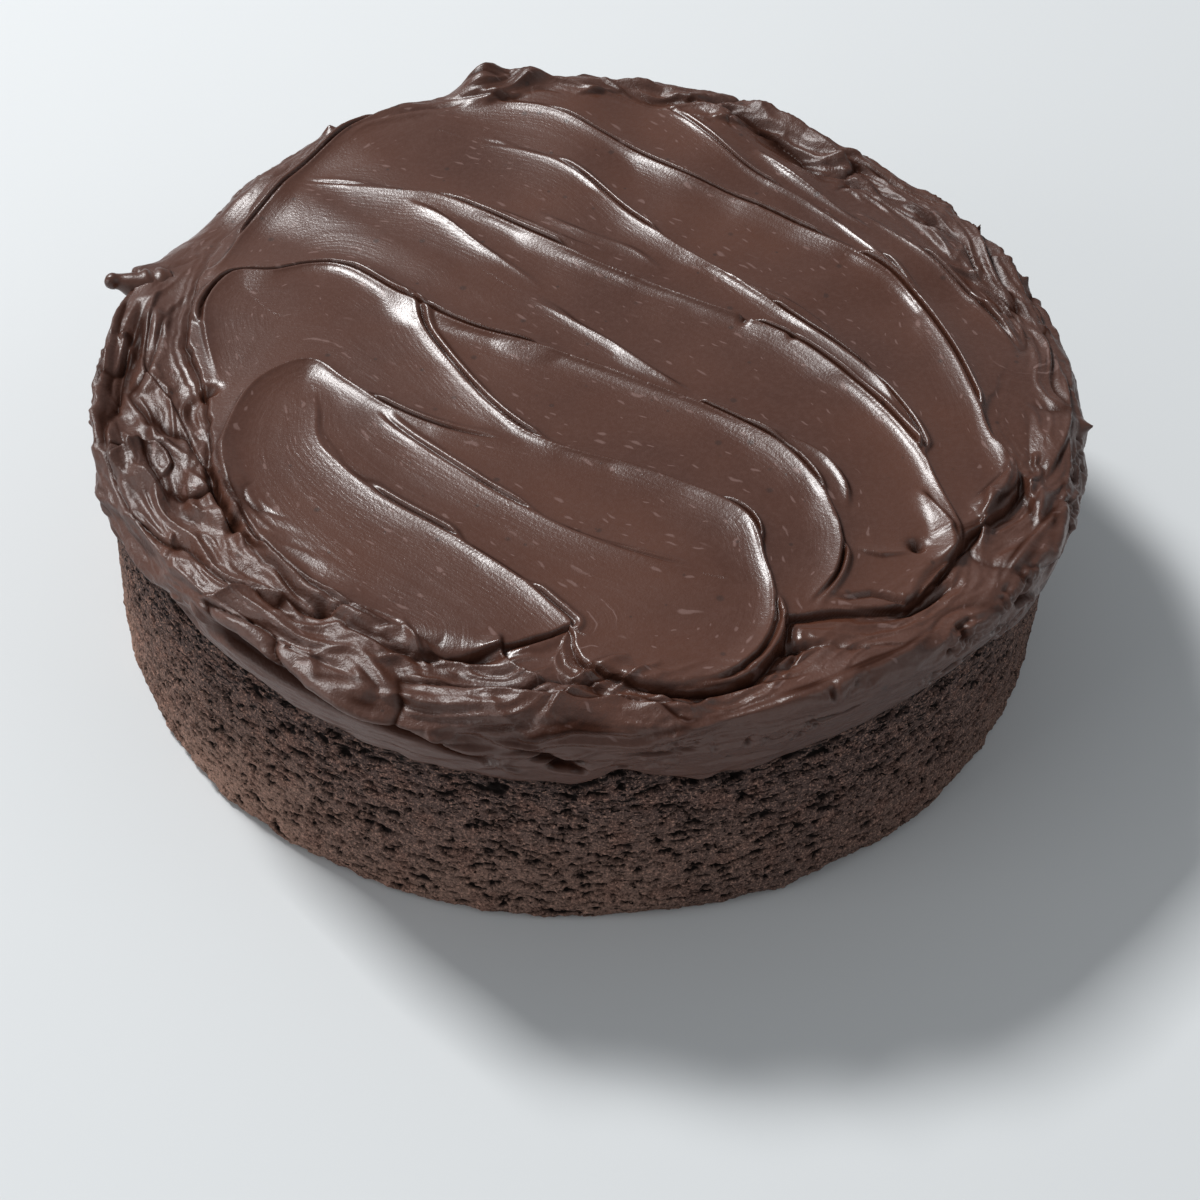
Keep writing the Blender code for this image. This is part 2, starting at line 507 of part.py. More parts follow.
def roughen_sponge(points):
    """Ripples in the baked side, below the frosting, and chips along its foot."""
    rng = np.random.default_rng(SEED)
    points = points / MM
    angle = np.degrees(np.arctan2(points[:, 1], points[:, 0]))
    radius = np.hypot(points[:, 0], points[:, 1])
    z = points[:, 2]
    bare = smooth_step((around(angle, LOWER_EDGE) - COVERED - z) / COVERED) * (radius > SIDE_START)
    inward = np.zeros(len(points))
    for waves in RIPPLE_WAVES:
        phase = waves * np.radians(angle) + z * rng.uniform(*RIPPLE_TURN) + rng.uniform(0.0, 2 * math.pi)
        inward += SPONGE_RIPPLE * (1.0 + np.sin(phase)) / len(RIPPLE_WAVES)
    low = 1.0 - smooth_step(z / CHIP_HEIGHT)
    for middle, half_width, depth in FOOT_CHIPS:
        turn = (angle - middle + 180.0) % 360.0 - 180.0
        inward += depth * low * np.exp(-(turn / half_width) ** 2)
    scale = 1.0 - inward * bare / np.maximum(radius, SIDE_START)
    points[:, :2] *= scale[:, None]
    return points * MM


def make_sponge(collection):
    sponge = turned("sponge", sponge_profile(), collection)
    graph = bpy.context.evaluated_depsgraph_get()
    sponge.data = bpy.data.meshes.new_from_object(sponge.evaluated_get(graph))
    sponge.modifiers.clear()
    move_points(sponge.data, roughen_sponge)
    sponge.data.shade_smooth()
    sponge.data.set_sharp_from_angle(angle=math.radians(SHARP_ANGLE))
    sponge.data.materials.append(material("sponge_crumb", *SPONGE_LOOK))
    return sponge


def make_frosting(collection, cutters):
    """A lump with the frosted outer surface, thinned to its few needed faces and hollowed to fit the sponge."""
    shape = bmesh.new()
    bmesh.ops.create_uvsphere(shape, u_segments=LUMP_SIDES, v_segments=LUMP_RINGS, radius=1.0)
    mesh = bpy.data.meshes.new("frosting")
    shape.to_mesh(mesh)
    shape.free()
    move_points(mesh, lambda directions: press_frosting(directions) * MM)
    mesh.shade_smooth()
    mesh.materials.append(material("chocolate_frosting", *FROSTING_LOOK))
    frosting = bpy.data.objects.new("frosting", mesh)
    collection.objects.link(frosting)

    thin_out = frosting.modifiers.new("thin_out", "DECIMATE")
    thin_out.ratio = FROSTING_DETAIL
    cutter = turned("sponge_space", sponge_profile(GAP), cutters)
    cutter.hide_render = True
    cutter.display_type = "WIRE"
    hollow = frosting.modifiers.new("hollow", "BOOLEAN")
    hollow.operation = "DIFFERENCE"
    hollow.object = cutter
    return frosting


def new_collection(name):
    made = bpy.data.collections.new(name)
    bpy.context.scene.collection.children.link(made)
    return made


def main():
    for old in list(bpy.data.objects):
        bpy.data.objects.remove(old, do_unlink=True)
    cake = new_collection("chocolate_cake")
    cutters = new_collection("cutters")
    make_sponge(cake)
    make_frosting(cake, cutters)


main()
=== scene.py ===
"""The chocolate cake's looks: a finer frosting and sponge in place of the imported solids.

Shapes are worked out in millimetres in the solids' own frame and written to the meshes in metres.
Angles are in degrees round the z axis: 0 is the right side, 90 the back and -90 the front.
"""

import itertools
import math

import bpy
import numpy as np
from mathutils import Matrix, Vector


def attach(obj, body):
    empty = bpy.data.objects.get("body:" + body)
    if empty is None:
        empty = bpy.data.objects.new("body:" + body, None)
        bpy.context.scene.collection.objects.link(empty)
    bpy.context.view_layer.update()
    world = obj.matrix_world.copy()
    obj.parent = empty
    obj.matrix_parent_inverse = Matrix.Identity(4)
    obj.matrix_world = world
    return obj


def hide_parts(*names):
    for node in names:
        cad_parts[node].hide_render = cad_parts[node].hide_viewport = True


MM = 0.001
SEED = 8

# Mixing constants of the hashed noise
HASH_START = 2654435761
HASH_SHIFT = 1000
HASH_FACTOR = 668265263
HASH_BITS = 0xFFFFFFFF
HASH_FOLD = 15
HASH_PART = 0xFFFF

# Camera, at the photograph's place: the picture is 1200 pixels square
CAMERA_PLACE = (0.0, -0.37161, 0.35886)
CAMERA_TURN = (45.1025, -2.0768, 1.3102)
CAMERA_LENS = 69.0
CAMERA_SENSOR = 36.0

# Sponge
SPONGE_TOP_RADIUS = 99.4
SPONGE_RADIUS = 100.0
SPONGE_HEIGHT = 52.0
SPONGE_FOOT_ROUND = 1.6
SPONGE_COLUMNS = 1800
SPONGE_ROWS = 150
PORES = 7500
PORE_SIZE = (0.35, 2.3)
PORE_STRETCH = (1.6, 3.8)
PORE_DEPTH = 1.1
PORE_DEEPER = 0.9  # and up to this much deeper in patches of this size
PORE_DEEPER_SIZE = 3.0
PORE_LOWEST = 2.0
PORE_SURROUND = 1.5  # the wobble can move a pore's outline this far
PORE_LEVELS = (0.5, 1.0)  # spread of the pores' heights: its power makes them denser towards the top
PORE_LEVEL_POWER = 0.8
PORE_SIZE_POWER = 3.0  # most pores are small
PORE_EDGE_REACH = 6.0  # pores grow larger within this distance of the frosting
PORE_FLOOR = (0.45, 0.4)  # how deep a pore is: at least, and more for each millimetre of its size
PORE_WALL = 1.2  # above 1, pores have a flat floor and steeper walls
# Wobble of the pores' outlines, sideways and upwards: (amount, size, seed) each
WOBBLE_ACROSS = ((0.55, 0.9, 31), (0.5, 2.3, 32))
WOBBLE_UP = ((0.4, 0.9, 33), (0.4, 2.3, 34))
# Small cracks in the crumb, from noise above a level that is lower near the frosting
CRACK_SIZE = (3.4, 3.4, 1.0)
CRACK_BEND = 0.6
CRACK_BEND_SIZE = 1.5
CRACK_LEVEL = 0.62
CRACK_MORE_AT_EDGE = 0.35
CRACK_EDGE_REACH = 9.0
CRACK_SOFTNESS = 0.25
# Lumps of the sponge's side: (height, size, seed) each
FINE_LUMPS = (0.2, 1.4, 41)
LUMPS = ((0.14, 0.6, 42), (0.3, 7.0, 43), (0.5, 23.0, 44))
EDGE_SHADE = 0.40  # painted shadow: the crumb is painted this much darker right under the frosting
EDGE_SHADE_REACH = 3.5
FOOT_REACH = 5.0  # the foot is chipped and lumpy up to this height
FOOT_LUMP_HEIGHT = 0.9
FOOT_LUMP_SIZE = 4.0
FOOT_LUMP_RANGE = (-0.2, 1.2)
# Chips out of the foot: angle, half width in degrees, depth
FOOT_CHIPS = (
    (-81, 4, 1.6), (-70, 5, 1.2), (-58, 7, 1.8), (-45, 5, 1.3), (-37, 4, 2.0), (150, 8, 1.2),
)

# Frosting
TOP_CENTRE = 61.0
SHOULDER_START = 95.0
SHOULDER_DROP = 6.5
SHOULDER_LENGTH = 12.0
EDGE_RADIUS = 101.2
TOP_BEND = 2.5  # the top bends to the rim late: 1 would be a cone
SIDE_BEND = 1.5  # and so does the side to its lower edge
EDGE_WAVE_HEIGHT = 0.9
EDGE_WAVES = 22.0  # waves of the lower edge for each radian
SIDE_LEAN = 0.6  # the side's own forms start where the surface leans out by this angle, in radians
STRANDS_END = 0.7  # share of the side, from the top, that the strands cover before they fade out
# Fine smears on the side: size in degrees and millimetres, and height
SMEAR_SIZE = (5.0, 1.6)
SMEAR_HEIGHT = 0.22
# The lower edge's underside: depth inwards, how soon, the bulge below the edge, where it ends, and the rise
UNDER_DEPTH = 5.0
UNDER_BEND = 0.7
UNDER_BULGE = 0.9
UNDER_BULGE_END = 1.5
UNDER_RISE = 2.0
# The last, hidden ring: its radius as a part of the ring before, and how far below the sponge's top it lies
INNER_PART = 0.92
INNER_DROP = 3.0
TOP_CELLS = 600
SHOULDER_RINGS = 38
SIDE_RINGS = 36
UNDER_RINGS = 5
# Height of the top where the shoulder starts, round the cake
RIM_TOP = (
    (-90, 60.5), (-60, 60.0), (-30, 59.0), (0, 58.0), (18, 56.5), (30, 59.5), (45, 58.5), (58, 60.5),
    (72, 64.0), (82, 63.0), (94, 65.5), (112, 61.5), (125, 61.5), (139, 58.5), (151, 54.5),
    (165, 57.5), (185, 58.0), (215, 59.5), (240, 60.0),
)
# How round the shoulder is, round the cake: 1 is an elliptical arc, and less is squarer
SHOULDER_SQUARENESS = (
    (-130, 1.0), (-105, 0.6), (-80, 0.45), (-50, 0.45), (-25, 0.7), (0, 1.0), (180, 1.0),
)
# Outermost radius of the frosted side, round the cake
SIDE_RADIUS = (
    (-90, 102.8), (-60, 103.0), (-35, 103.8), (-15, 103.4), (-5, 102.9), (10, 103.3), (50, 102.6),
    (90, 102.6), (130, 102.2), (160, 101.6), (190, 101.4), (215, 102.0), (240, 103.2),
)
# Height of the frosting's lower edge, round the cake
LOWER_EDGE = (
    (-100, 42.5), (-90, 43.0), (-85, 47.0), (-81, 44.0), (-76, 42.5), (-60, 45.0), (-42, 46.5),
    (-30, 39.5), (-18, 35.5), (-5, 38.0), (20, 44.0), (55, 41.0), (90, 44.5), (125, 41.5),
    (160, 43.5), (182, 40.5), (200, 41.0), (210, 47.0), (220, 51.0), (230, 48.0), (240, 46.0), (250, 43.0),
)

# Crests left by the spatula: (x, y, height, width) along each, seen from above.
# The long hollow slope is on the right of the way it runs, and the short drop on the left.
CRESTS = (
    ((-40, 90, 0, 8), (-15, 85, 1.0, 8), (0, 75, 1.6, 8), (20, 60, 2.1, 9), (40, 48, 2.2, 9),
     (58, 35, 2.2, 9), (67, 25, 2.1, 9), (73.5, 9, 2.1, 8), (78, -7, 1.9, 7), (80, -19, 1.5, 6),
     (83, -29, 1.4, 4), (81, -37, 1.2, 3.5), (74, -46, 0.8, 3.5), (66, -50, 0, 4)),
    ((14, 90, 0, 6), (20, 83, 0.8, 7), (33, 67, 1.3, 8), (50, 53, 1.4, 8), (63, 36.5, 1.1, 7),
     (69, 26, 0, 6)),
    ((58, 56, 0, 5), (65, 48, 0.8, 6), (75, 36, 1.1, 6), (85, 21, 1.0, 5), (90, 10, 0, 4)),
    ((-30, 75, 0, 6), (-8, 64, 0.8, 7), (10, 43, 1.7, 8), (30, 25, 1.9, 11), (50, 4, 1.9, 12),
     (60, -9, 1.7, 10), (66, -22, 1.0, 8), (67, -36, 0, 6)),
    ((-66, 58, 0, 5), (-56, 56, 0.5, 6), (-42, 52.5, 1.1, 8), (-33, 50, 1.6, 9), (-15, 38, 2.1, 10),
     (0, 28, 2.2, 10), (20, 17, 2.2, 10), (40, 6, 2.2, 10), (55, -10, 2.1, 9), (64, -24, 1.9, 8),
     (69, -38, 1.7, 7), (71.5, -48, 1.3, 4), (68, -57, 1.2, 3.5), (58, -68.5, 0.9, 3.5), (46, -69, 0, 3.5)),
    ((-74, -14, 0, 4), (-79, 3, 1.0, 4), (-80, 14, 1.3, 4), (-76, 23, 1.4, 5), (-68, 24, 1.2, 7),
     (-60, 27, 1.3, 6), (-52, 25, 1.7, 7), (-37, 11.5, 1.9, 8), (-25, 4, 2.0, 9), (-10, -1.5, 2.1, 9),
     (10, -11, 2.1, 9), (25, -19, 2.1, 9), (38, -28.5, 2.1, 8), (45, -39, 1.9, 7), (48.5, -50, 1.6, 5),
     (47.5, -61, 1.2, 4), (42, -70, 0, 4)),
    ((-41, 20, 0, 4), (-38, 13, 0.7, 5), (-33, 1, 1.0, 6), (-20, -19, 1.2, 7), (-8, -30, 1.3, 8),
     (10, -36.5, 1.5, 8), (22, -42.5, 1.8, 9), (31, -49, 1.9, 7), (34, -60, 1.4, 5), (35.5, -68, 1.2, 3.5),
     (34, -79, 1.2, 3.5), (27, -88, 1.1, 3.5), (14, -91, 1.0, 3.5), (2, -87, 0, 3.5)),
    ((-31, -82, 0, 4), (-42, -75.5, 1.0, 4), (-53, -66, 1.2, 4), (-62, -55, 1.3, 4), (-69, -40, 1.5, 5),
     (-70, -28, 1.7, 6), (-66, -14, 1.8, 6), (-57, -7.5, 1.9, 6), (-49, -13.5, 1.6, 6),
     (-40, -21, 1.2, 6), (-28, -27, 0.8, 6), (-12, -31, 0, 5)),
    ((-42, -22, 0, 4), (-38, -27, 0.5, 5), (-28, -36, 0.8, 6), (-15, -46.5, 0.9, 7), (0, -56, 0.9, 7),
     (12, -61, 0.7, 6), (22, -63.5, 0, 5)),
    ((-55, -16, 0, 5), (-54, -22, 0.4, 4), (-52, -32, 0.6, 5), (-40, -46, 0.8, 5), (-25, -57, 0.9, 6),
     (-12, -67.5, 1.0, 6), (-5, -74.8, 0.9, 5), (-1.4, -78.4, 0.7, 3)),
    ((-82, 22, 0, 4), (-79, 30, 0.9, 4), (-76, 43, 1.3, 4), (-70, 55, 1.3, 4), (-64, 65, 1.2, 4),
     (-56, 77, 1.1, 4), (-46, 86, 1.0, 4), (-34, 95, 0, 4)),
    ((-14, 18, 0, 4), (-5, 10, 0.8, 5), (5, 1.5, 1.2, 6), (14, -7, 1.1, 6), (21, -12, 0, 5)),
)
CREST_SLOPE_REACH = 1.4  # how far the hollow slope runs, in widths
CREST_STEEP_PART = 0.66  # part of a crest's height that falls within a few millimetres on its slope side
CREST_STEEP_REACH = (0.9, 2.3)  # the least and the most, from place to place
CREST_LIP = 0.7  # part of a crest's height that drops steeply
CREST_LIP_WIDTH = 1.1
CREST_BACK_WIDTH = 5.0
CREST_LEAN = 0.3  # how far a crest leans over its lip, as a part of its height
CREST_LEAN_WIDTH = 1.3
CREST_LEAST_WIDTH = 0.4
# The crease that comes and goes along a crest's top: distance from the crest, half width, part of its height
CREASE_PLACE = 1.0
CREASE_WIDTH = 0.5
CREASE_DEPTH = 1.0
CREASE_SPAN = 2.1  # how much further back the lip stands there
CREASE_PATCH = 16.0
CREASE_SHARE = (1.6, 0.8)  # how abruptly it comes and goes, and how much of a crest has it
SPREAD_PATCH = 12.3  # the steep part's reach changes over this length
SPREAD_SHARE = (1.2, 0.35)
SHADE_PATCH = 5.9  # and the strength of the painted shade line over this one
SHADE_LEAST = 0.35
SHADE_PLACE = 0.9  # the painted shade line behind a crest, at the foot of its lip
SHADE_WIDTH = 0.5
SHADE_FULL_HEIGHT = 1.0  # crests lower than this have a fainter line
STROKE_ANGLE = -38.0  # way that the strokes run where no crest is near
FLOW_START = 60.0  # stands for the distance where no crest is near
FLOW_REACH = 22.0  # how far from a crest the strokes follow it
FLOW_SEAM = (0.8, 3.8)  # the fine lines fade in over this range from where two crests are as near
FLOW_FADE = (14.0, 20.0)  # and out over this range from a crest

# Thin second folds beside the crests, as CRESTS
THIN_FOLDS = (
    ((22, 62, 0, 2), (40, 51, 0.6, 2), (58, 38, 0.7, 2), (69, 25, 0.6, 2), (75, 10, 0.5, 2),
     (79.5, -5, 0, 2)),
    ((-26, 50, 0, 3), (-16, 44, 0.8, 3), (-6, 37, 0.9, 3), (4, 33, 0, 3)),
    ((-14, 48, 0, 2.5), (-4, 41, 0.7, 2.5), (8, 35, 0.6, 2.5), (16, 27, 0, 2.5)),
    ((-42, 50, 0, 5), (-34, 44, 1.0, 6), (-25, 34, 1.2, 6), (-16, 26, 0.5, 5), (-10, 20, 0, 4)),
    ((-54, 28, 0, 3), (-48, 25.5, 0.7, 3), (-40, 19, 0.7, 3), (-30, 8.5, 0.6, 3), (-20, 4, 0, 3)),
    ((32, -21, 0, 3), (38, -24, 1, 3), (46, -29, 1.3, 3.5), (50.5, -37, 1.2, 3), (51, -44, 0, 3)),
    ((28, 26, 0, 3), (36, 23, 0.7, 3), (46, 16, 0.6, 3), (52, 8, 0, 3)),
    ((40, 16, 0, 3), (50, 6, 0.8, 4), (58, -5, 0.8, 4), (63, -17, 0, 3)),
    ((-72, -36, 0, 2.5), (-67, -48, 1, 2.5), (-61, -60, 1.1, 2.5), (-50, -70, 1.1, 2.5), (-38, -79, 0.8, 2.5),
     (-30, -84, 0, 2)),
)

# The raised middle that the strokes leave, as (x, y, drop to the rim beyond it)
PLATEAU = (
    (80, -14, 0.6), (85, -29, 1.5), (82, -39, 1.5), (74, -48, 1.4), (68, -58, 1.5), (58, -69, 1.6),
    (46, -71, 1.5), (38, -73, 1.6), (36, -80, 1.9), (28, -90, 1.9), (14, -92, 1.9), (4, -88, 1.6),
    (0.5, -82.5, 0.9), (-1.2, -78.3, 1.2), (-5, -80.6, 1.4), (-15, -83.8, 1.4), (-25, -86, 1.3),
    (-33, -84.5, 1.2), (-44, -77, 1.0), (-55, -67, 1.0), (-64, -56, 1.1), (-71, -40, 1.3), (-73, -26, 1.5),
    (-77, -12, 1.5), (-82, 3, 1.5), (-83, 15, 1.4), (-82, 30, 0.8), (-79, 44, 0.6), (-67, 67, 0.5),
    (-48, 88, 0.3), (-20, 97, 0), (30, 84, 0), (62, 62, 0), (84, 34, 0), (88, 10, 0),
)
PLATEAU_EDGE = 1.0
PLATEAU_REACH = 14.0
# The moat along its foot: depth as a part of the drop, how much that varies, distance and half width
PLATEAU_MOAT = (0.18, 0.18, 1.4, 0.6)
PLATEAU_RAGGED = 0.5  # how far its edge wanders, and over what length
PLATEAU_RAGGED_SIZE = 4.5
PLATEAU_LEAN = 0.4
# Thin ridges along the foot of its edge: distance, height as a part of the drop, half width
PLATEAU_LINES = ((2.9, 0.22, 0.45), (4.6, 0.18, 0.5))
# Their mean height, how much it varies, and how much their distance does, all as parts of those
PLATEAU_LINE_SWAY = (0.7, 0.5, 0.4)
PLATEAU_SWAY = 13.0  # the ridges and the moat change over this length
PLATEAU_SHADE_DROP = 2.0

# Torn folds round the rim, large and small: seeded short ridges that run mostly along it
FOLD_STEEP_PART = 0.4  # width of a fold's steep side, as a part of its other side's
FOLD_STEEPEST = 0.55
FOLD_SHADE = 0.8
FOLD_SHADE_PLACE = 1.4  # the painted shade line at its foot, in widths of the steep side
FOLD_SHADE_HEIGHT = 1.5
# Each kind: count, distances from the centre, lengths, heights, widths, largest slant in degrees
FOLD_KINDS = (
    (96, (88.0, 112.0), (8.0, 24.0), (0.5, 1.5), (1.6, 3.2), 28.0),
    (180, (86.0, 116.0), (4.0, 14.0), (0.4, 1.0), (0.7, 1.4), 45.0),
)
# Stretches of the rim with no torn folds: from and to, in degrees
SMOOTH_RIM = ((-78, -34), (-12, 12), (108, 172))

# Strands drawn out along the rim: length, width and height of each layer
TORN_LAYERS = ((24.0, 5.0, 2.2), (13.0, 2.6, 1.1), (7.0, 1.2, 0.55))
# How much of the finest layer there is, round the cake
TORN_FINE = (
    (-90, 0.3), (-60, 0.5), (-20, 0.8), (20, 1.1), (60, 1.2), (90, 1.0), (150, 0.6), (190, 0.4), (240, 0.3),
)
CRUMPLE_HEIGHT = 0.14
CRUMPLE_SIZE = (2.6, 2.6, 1.3)
# Narrow clefts between the folds
CLEFT_SIZE = (21.0, 21.0, 6.0)
CLEFT_DEPTH = 1.5
CLEFT_SHARPNESS = 10
CLEFT_SHADE = (1.4, -0.4)  # how fast the painted shade in a cleft grows with its depth, and from what level
# How far from the centre the strands end, round the cake
TORN_END = (
    (-125, 112), (-108, 108), (-92, 103), (-60, 102), (-40, 103), (-20, 106), (0, 110), (20, 112), (90, 112),
    (180, 112),
)
TORN_SHADE = 0.35  # strands lower than this part of their height get painted shade
TORN_ROUND = 0.1  # rounds the strands' sharp crests
TORN_POWER = 3  # narrows the strands
TORN_MIDDLE = 0.4  # the strands' mean level, which is taken off
TORN_BEND = 4.5  # how far the strands wander, and over what length for x, y and along
TORN_BEND_SIZES = (17.0, 17.0, 13.0)
TORN_FADES = (8.0, 5.0)  # lengths over which the strands start and end
# How much of them there is, round the cake
TORN_AMOUNT = (
    (-90, 0.8), (-60, 0.5), (-40, 0.45), (-20, 0.5), (0, 0.6), (20, 1.0), (45, 1.1), (70, 0.8), (90, 0.6),
    (115, 0.4), (130, 0.15), (162, 0.15), (176, 0.5), (190, 0.9), (230, 1.0), (250, 0.9),
)
# How far from the centre they start, round the cake
TORN_START = (
    (-90, 86), (-70, 88), (-45, 85), (0, 89), (45, 82), (90, 88), (150, 91), (180, 80), (200, 75),
    (230, 76), (250, 84),
)

# Ridges placed one by one round the rim, as CRESTS
RIM_RIDGES = (
    ((-34, -90, 0, 3), (-18, -95.5, 1.4, 4), (0, -98, 1.6, 4), (10, -96, 1.3, 4), (20, -100, 1.5, 4),
     (30, -97, 1.4, 4), (45, -90, 1.2, 4), (58, -82, 1.2, 4), (68, -72, 0, 4)),
    ((78, -62, 0, 3), (84, -52, 1.6, 4), (93, -38, 1.8, 4), (96, -28, 0, 4)),
    ((-14.3, -85, 0, 1.5), (-8.4, -84.4, 1.1, 2), (-3.4, -81.4, 0.8, 1.5), (-1, -79, 0, 1)),
    ((-14.4, -81, 0, 2), (-14.5, -84, 1.4, 2.5), (-13, -88, 1.7, 3), (-9, -92, 1.7, 3), (-3, -94, 1.3, 3),
     (5, -94.5, 0, 2)),
    ((-7, -101, 0, 1.5), (-4, -99.5, 1.2, 1.6), (0, -95.5, 1.4, 1.8), (4.6, -92.4, 1.0, 1.6),
     (8, -91.5, 1.2, 1.6), (13.6, -94.6, 1.3, 1.8), (20.5, -97, 1.2, 1.8), (25, -94.2, 1.2, 1.8),
     (34, -91, 1.0, 1.6), (44, -87, 0, 1.5)),
    ((98, 12, 0, 6), (98.5, 0, 1.2, 9), (97.5, -10, 1.9, 11), (95, -20, 1.5, 9), (91, -30, 0, 5)),
    ((28, -97, 0, 1.5), (38, -93, 1.0, 1.6), (50, -86.5, 1.2, 1.8), (60, -80, 1.1, 1.6), (68, -72, 0, 1.5)),
    ((65, -37, 0, 3), (67, -42, 1.6, 3.5), (69.8, -48, 1.8, 3.5), (69.6, -53.5, 1.3, 3), (66.8, -57, 0, 2.5)),
    ((62.6, -54.2, 0, 1.5), (57, -55.8, 0.8, 1.8), (52, -54, 0, 1.5)),
    ((36, 75, 0, 3), (40, 70.5, 1.5, 3), (50, 59.5, 1.5, 3), (62, 47.5, 0, 3)),
    ((30, 97, 0, 3), (38, 92, 1.5, 3.5), (48, 84, 1.8, 4), (58, 72, 1.4, 3.5), (66, 60, 0, 3)),
    ((-99, 30, 0, 3), (-100, 11, 2.0, 3), (-99.2, -10, 2.2, 3), (-96.5, -27, 1.8, 3), (-92, -42, 0, 3)),
    ((-92, 22, 0, 2.5), (-93, 10, 1.7, 3), (-91.4, -8, 1.8, 3), (-85, -17.5, 1.6, 2.5),
     (-79.7, -28, 1.5, 2.5), (-76.5, -39, 0, 2)),
    ((-90.5, -42, 0, 1.5), (-90, -37, 1.6, 1.8), (-87.5, -33.2, 1.8, 1.8), (-84, -33.4, 1.7, 1.8),
     (-81, -37.5, 1.4, 1.6), (-82.5, -41.5, 0, 1.4)),
    ((-87, -40, 0, 1.5), (-84.5, -43, 1.3, 2), (-81.8, -46, 1.4, 2.2), (-78.5, -50.5, 0, 2)),
    ((-76, -40, 0, 3), (-72, -46, 1.2, 3.5), (-66, -57, 1.4, 3.5), (-58, -65, 1.2, 3.5), (-50, -71, 0, 3)),
    ((-74, -71, 0, 3), (-68.5, -74, 1.4, 3.5), (-62, -72.5, 1.7, 4), (-55, -73.5, 1.5, 3.5),
     (-50, -79, 0, 3)),
)

# Tips pulled up by the spatula: angle, distance along the surface from the centre, spread, outward, up,
# and how round the tip is, from 1 for a spike
PULLED_TIPS = (
    (106.5, 98.5, 5.5, 0.5, 5.2, 2.0), (100, 99, 4.5, 0.5, 4.0, 2.0), (128, 100.5, 1.6, 0.8, 1.6, 1.5),
    (164.5, 101.5, 3.2, 2.6, 1.2, 1.7), (31.5, 102.3, 1.3, 0.4, 3.6, 1.1), (22.5, 104.0, 1.2, 0.8, 1.8, 1.2),
    (-5.6, 103.0, 1.5, 2.6, 0.4, 1.1), (60, 101, 4.5, 0.8, 1.6, 2.0), (84, 99, 3.0, 0.3, 1.0, 2.0),
)

# Grooves between the folds: (x, y, depth, half width) along each
GROOVE_LEAST_WIDTH = 0.5
GROOVE_SHADE_DEPTH = 2.0  # deeper ones get the full painted shade
GROOVES = (
    ((-95, 16, 0, 1.5), (-94, 4, 2.6, 2.3), (-94.5, -11, 3.2, 2.5), (-95.5, -24, 2.0, 1.6),
     (-93, -35, 0, 1.2)),
    ((-74, -28, 0, 0.8), (-73, -38, 1.0, 0.9), (-68, -51, 1.2, 0.9), (-60, -63, 0.8, 0.8),
     (-46, -76, 0, 0.7)),
    ((-33, -86, 0, 0.8), (-24, -86.5, 1.6, 1.2), (-16, -87, 1.2, 1.2), (-10, -85, 0, 0.8)),
    ((29, 93, 0, 2), (33, 89, 2.2, 3.0), (40, 82, 2.0, 3.6), (47, 75, 1.6, 3.2), (54, 64, 0, 2)),
    ((-73.5, -38, 0, 0.7), (-71.7, -42, 1.8, 1.0), (-69.6, -48, 1.9, 1.1), (-68, -52, 0, 0.8)),
    ((-67, -51.5, 0, 0.8), (-65.5, -53.8, 1.8, 1.2), (-63, -57, 0, 0.8)),
    ((36, -81.5, 0, 0.8), (38.5, -80.5, 1.8, 1.1), (42, -79.5, 1.6, 0.9), (46.5, -78.6, 0, 0.7)),
    ((38, -86, 0, 0.6), (39.5, -83, 1.2, 0.7), (41, -80.5, 0, 0.6)),
    ((-27, -93.5, 0, 0.8), (-19.5, -94.4, 1.5, 1.0), (-13, -94.6, 1.6, 1.0), (-7, -95.6, 1.4, 0.9),
     (-1, -96.4, 0, 0.7)),
    ((57, -71, 0, 0.8), (61, -69.5, 1.6, 1.1), (66, -65.4, 1.6, 1.0), (72, -60, 0, 0.8)),
    ((46.5, -67.5, 0, 0.6), (50, -68, 0.9, 0.6), (54.4, -66.6, 1.2, 0.7), (60.4, -67.5, 1.4, 0.7),
     (64, -62.5, 1.0, 0.6), (66.4, -58.6, 1.2, 0.7), (71.6, -53, 0.9, 0.6), (78, -46, 0, 0.6)),
)

# The blob of frosting that sticks out at the left of the rim: (x, y, z, thickness) along it
BLOB = (
    (-91, 25.5, 53.5, 8.0), (-95, 23.8, 54.5, 7.6), (-98.4, 22.9, 55.6, 5.4), (-101.0, 22.6, 56.3, 3.4),
    (-102.4, 22.3, 56.6, 3.7), (-103.6, 22.2, 56.6, 2.6), (-104.0, 22.2, 56.6, 0.6),
)
BLOB_SIDES = 14
BLOB_SPACING = 0.4
BLOB_LEAST_THICKNESS = 0.2
BLOB_LUMP_HEIGHT = 0.18  # as a part of its thickness
BLOB_LUMP_SIZE = 1.6
BLOB_LUMP_RING = 1.5
BLOB_ACROSS = (0.31, 0.52, 0.79)  # any direction that the path doesn't run in

# Small hollows torn in the frosting: x, y, radius, depth
HOLLOWS = (
    (64, -52.6, 1.5, 2.4), (-76, -15.3, 1.6, 2.6), (-66, -56, 1.8, 2.0), (-46.5, -76.5, 1.4, 1.8),
    (30.5, 91.5, 1.8, 1.5), (32, 11, 1.0, 1.0), (42, 5.5, 1.0, 1.0),
)

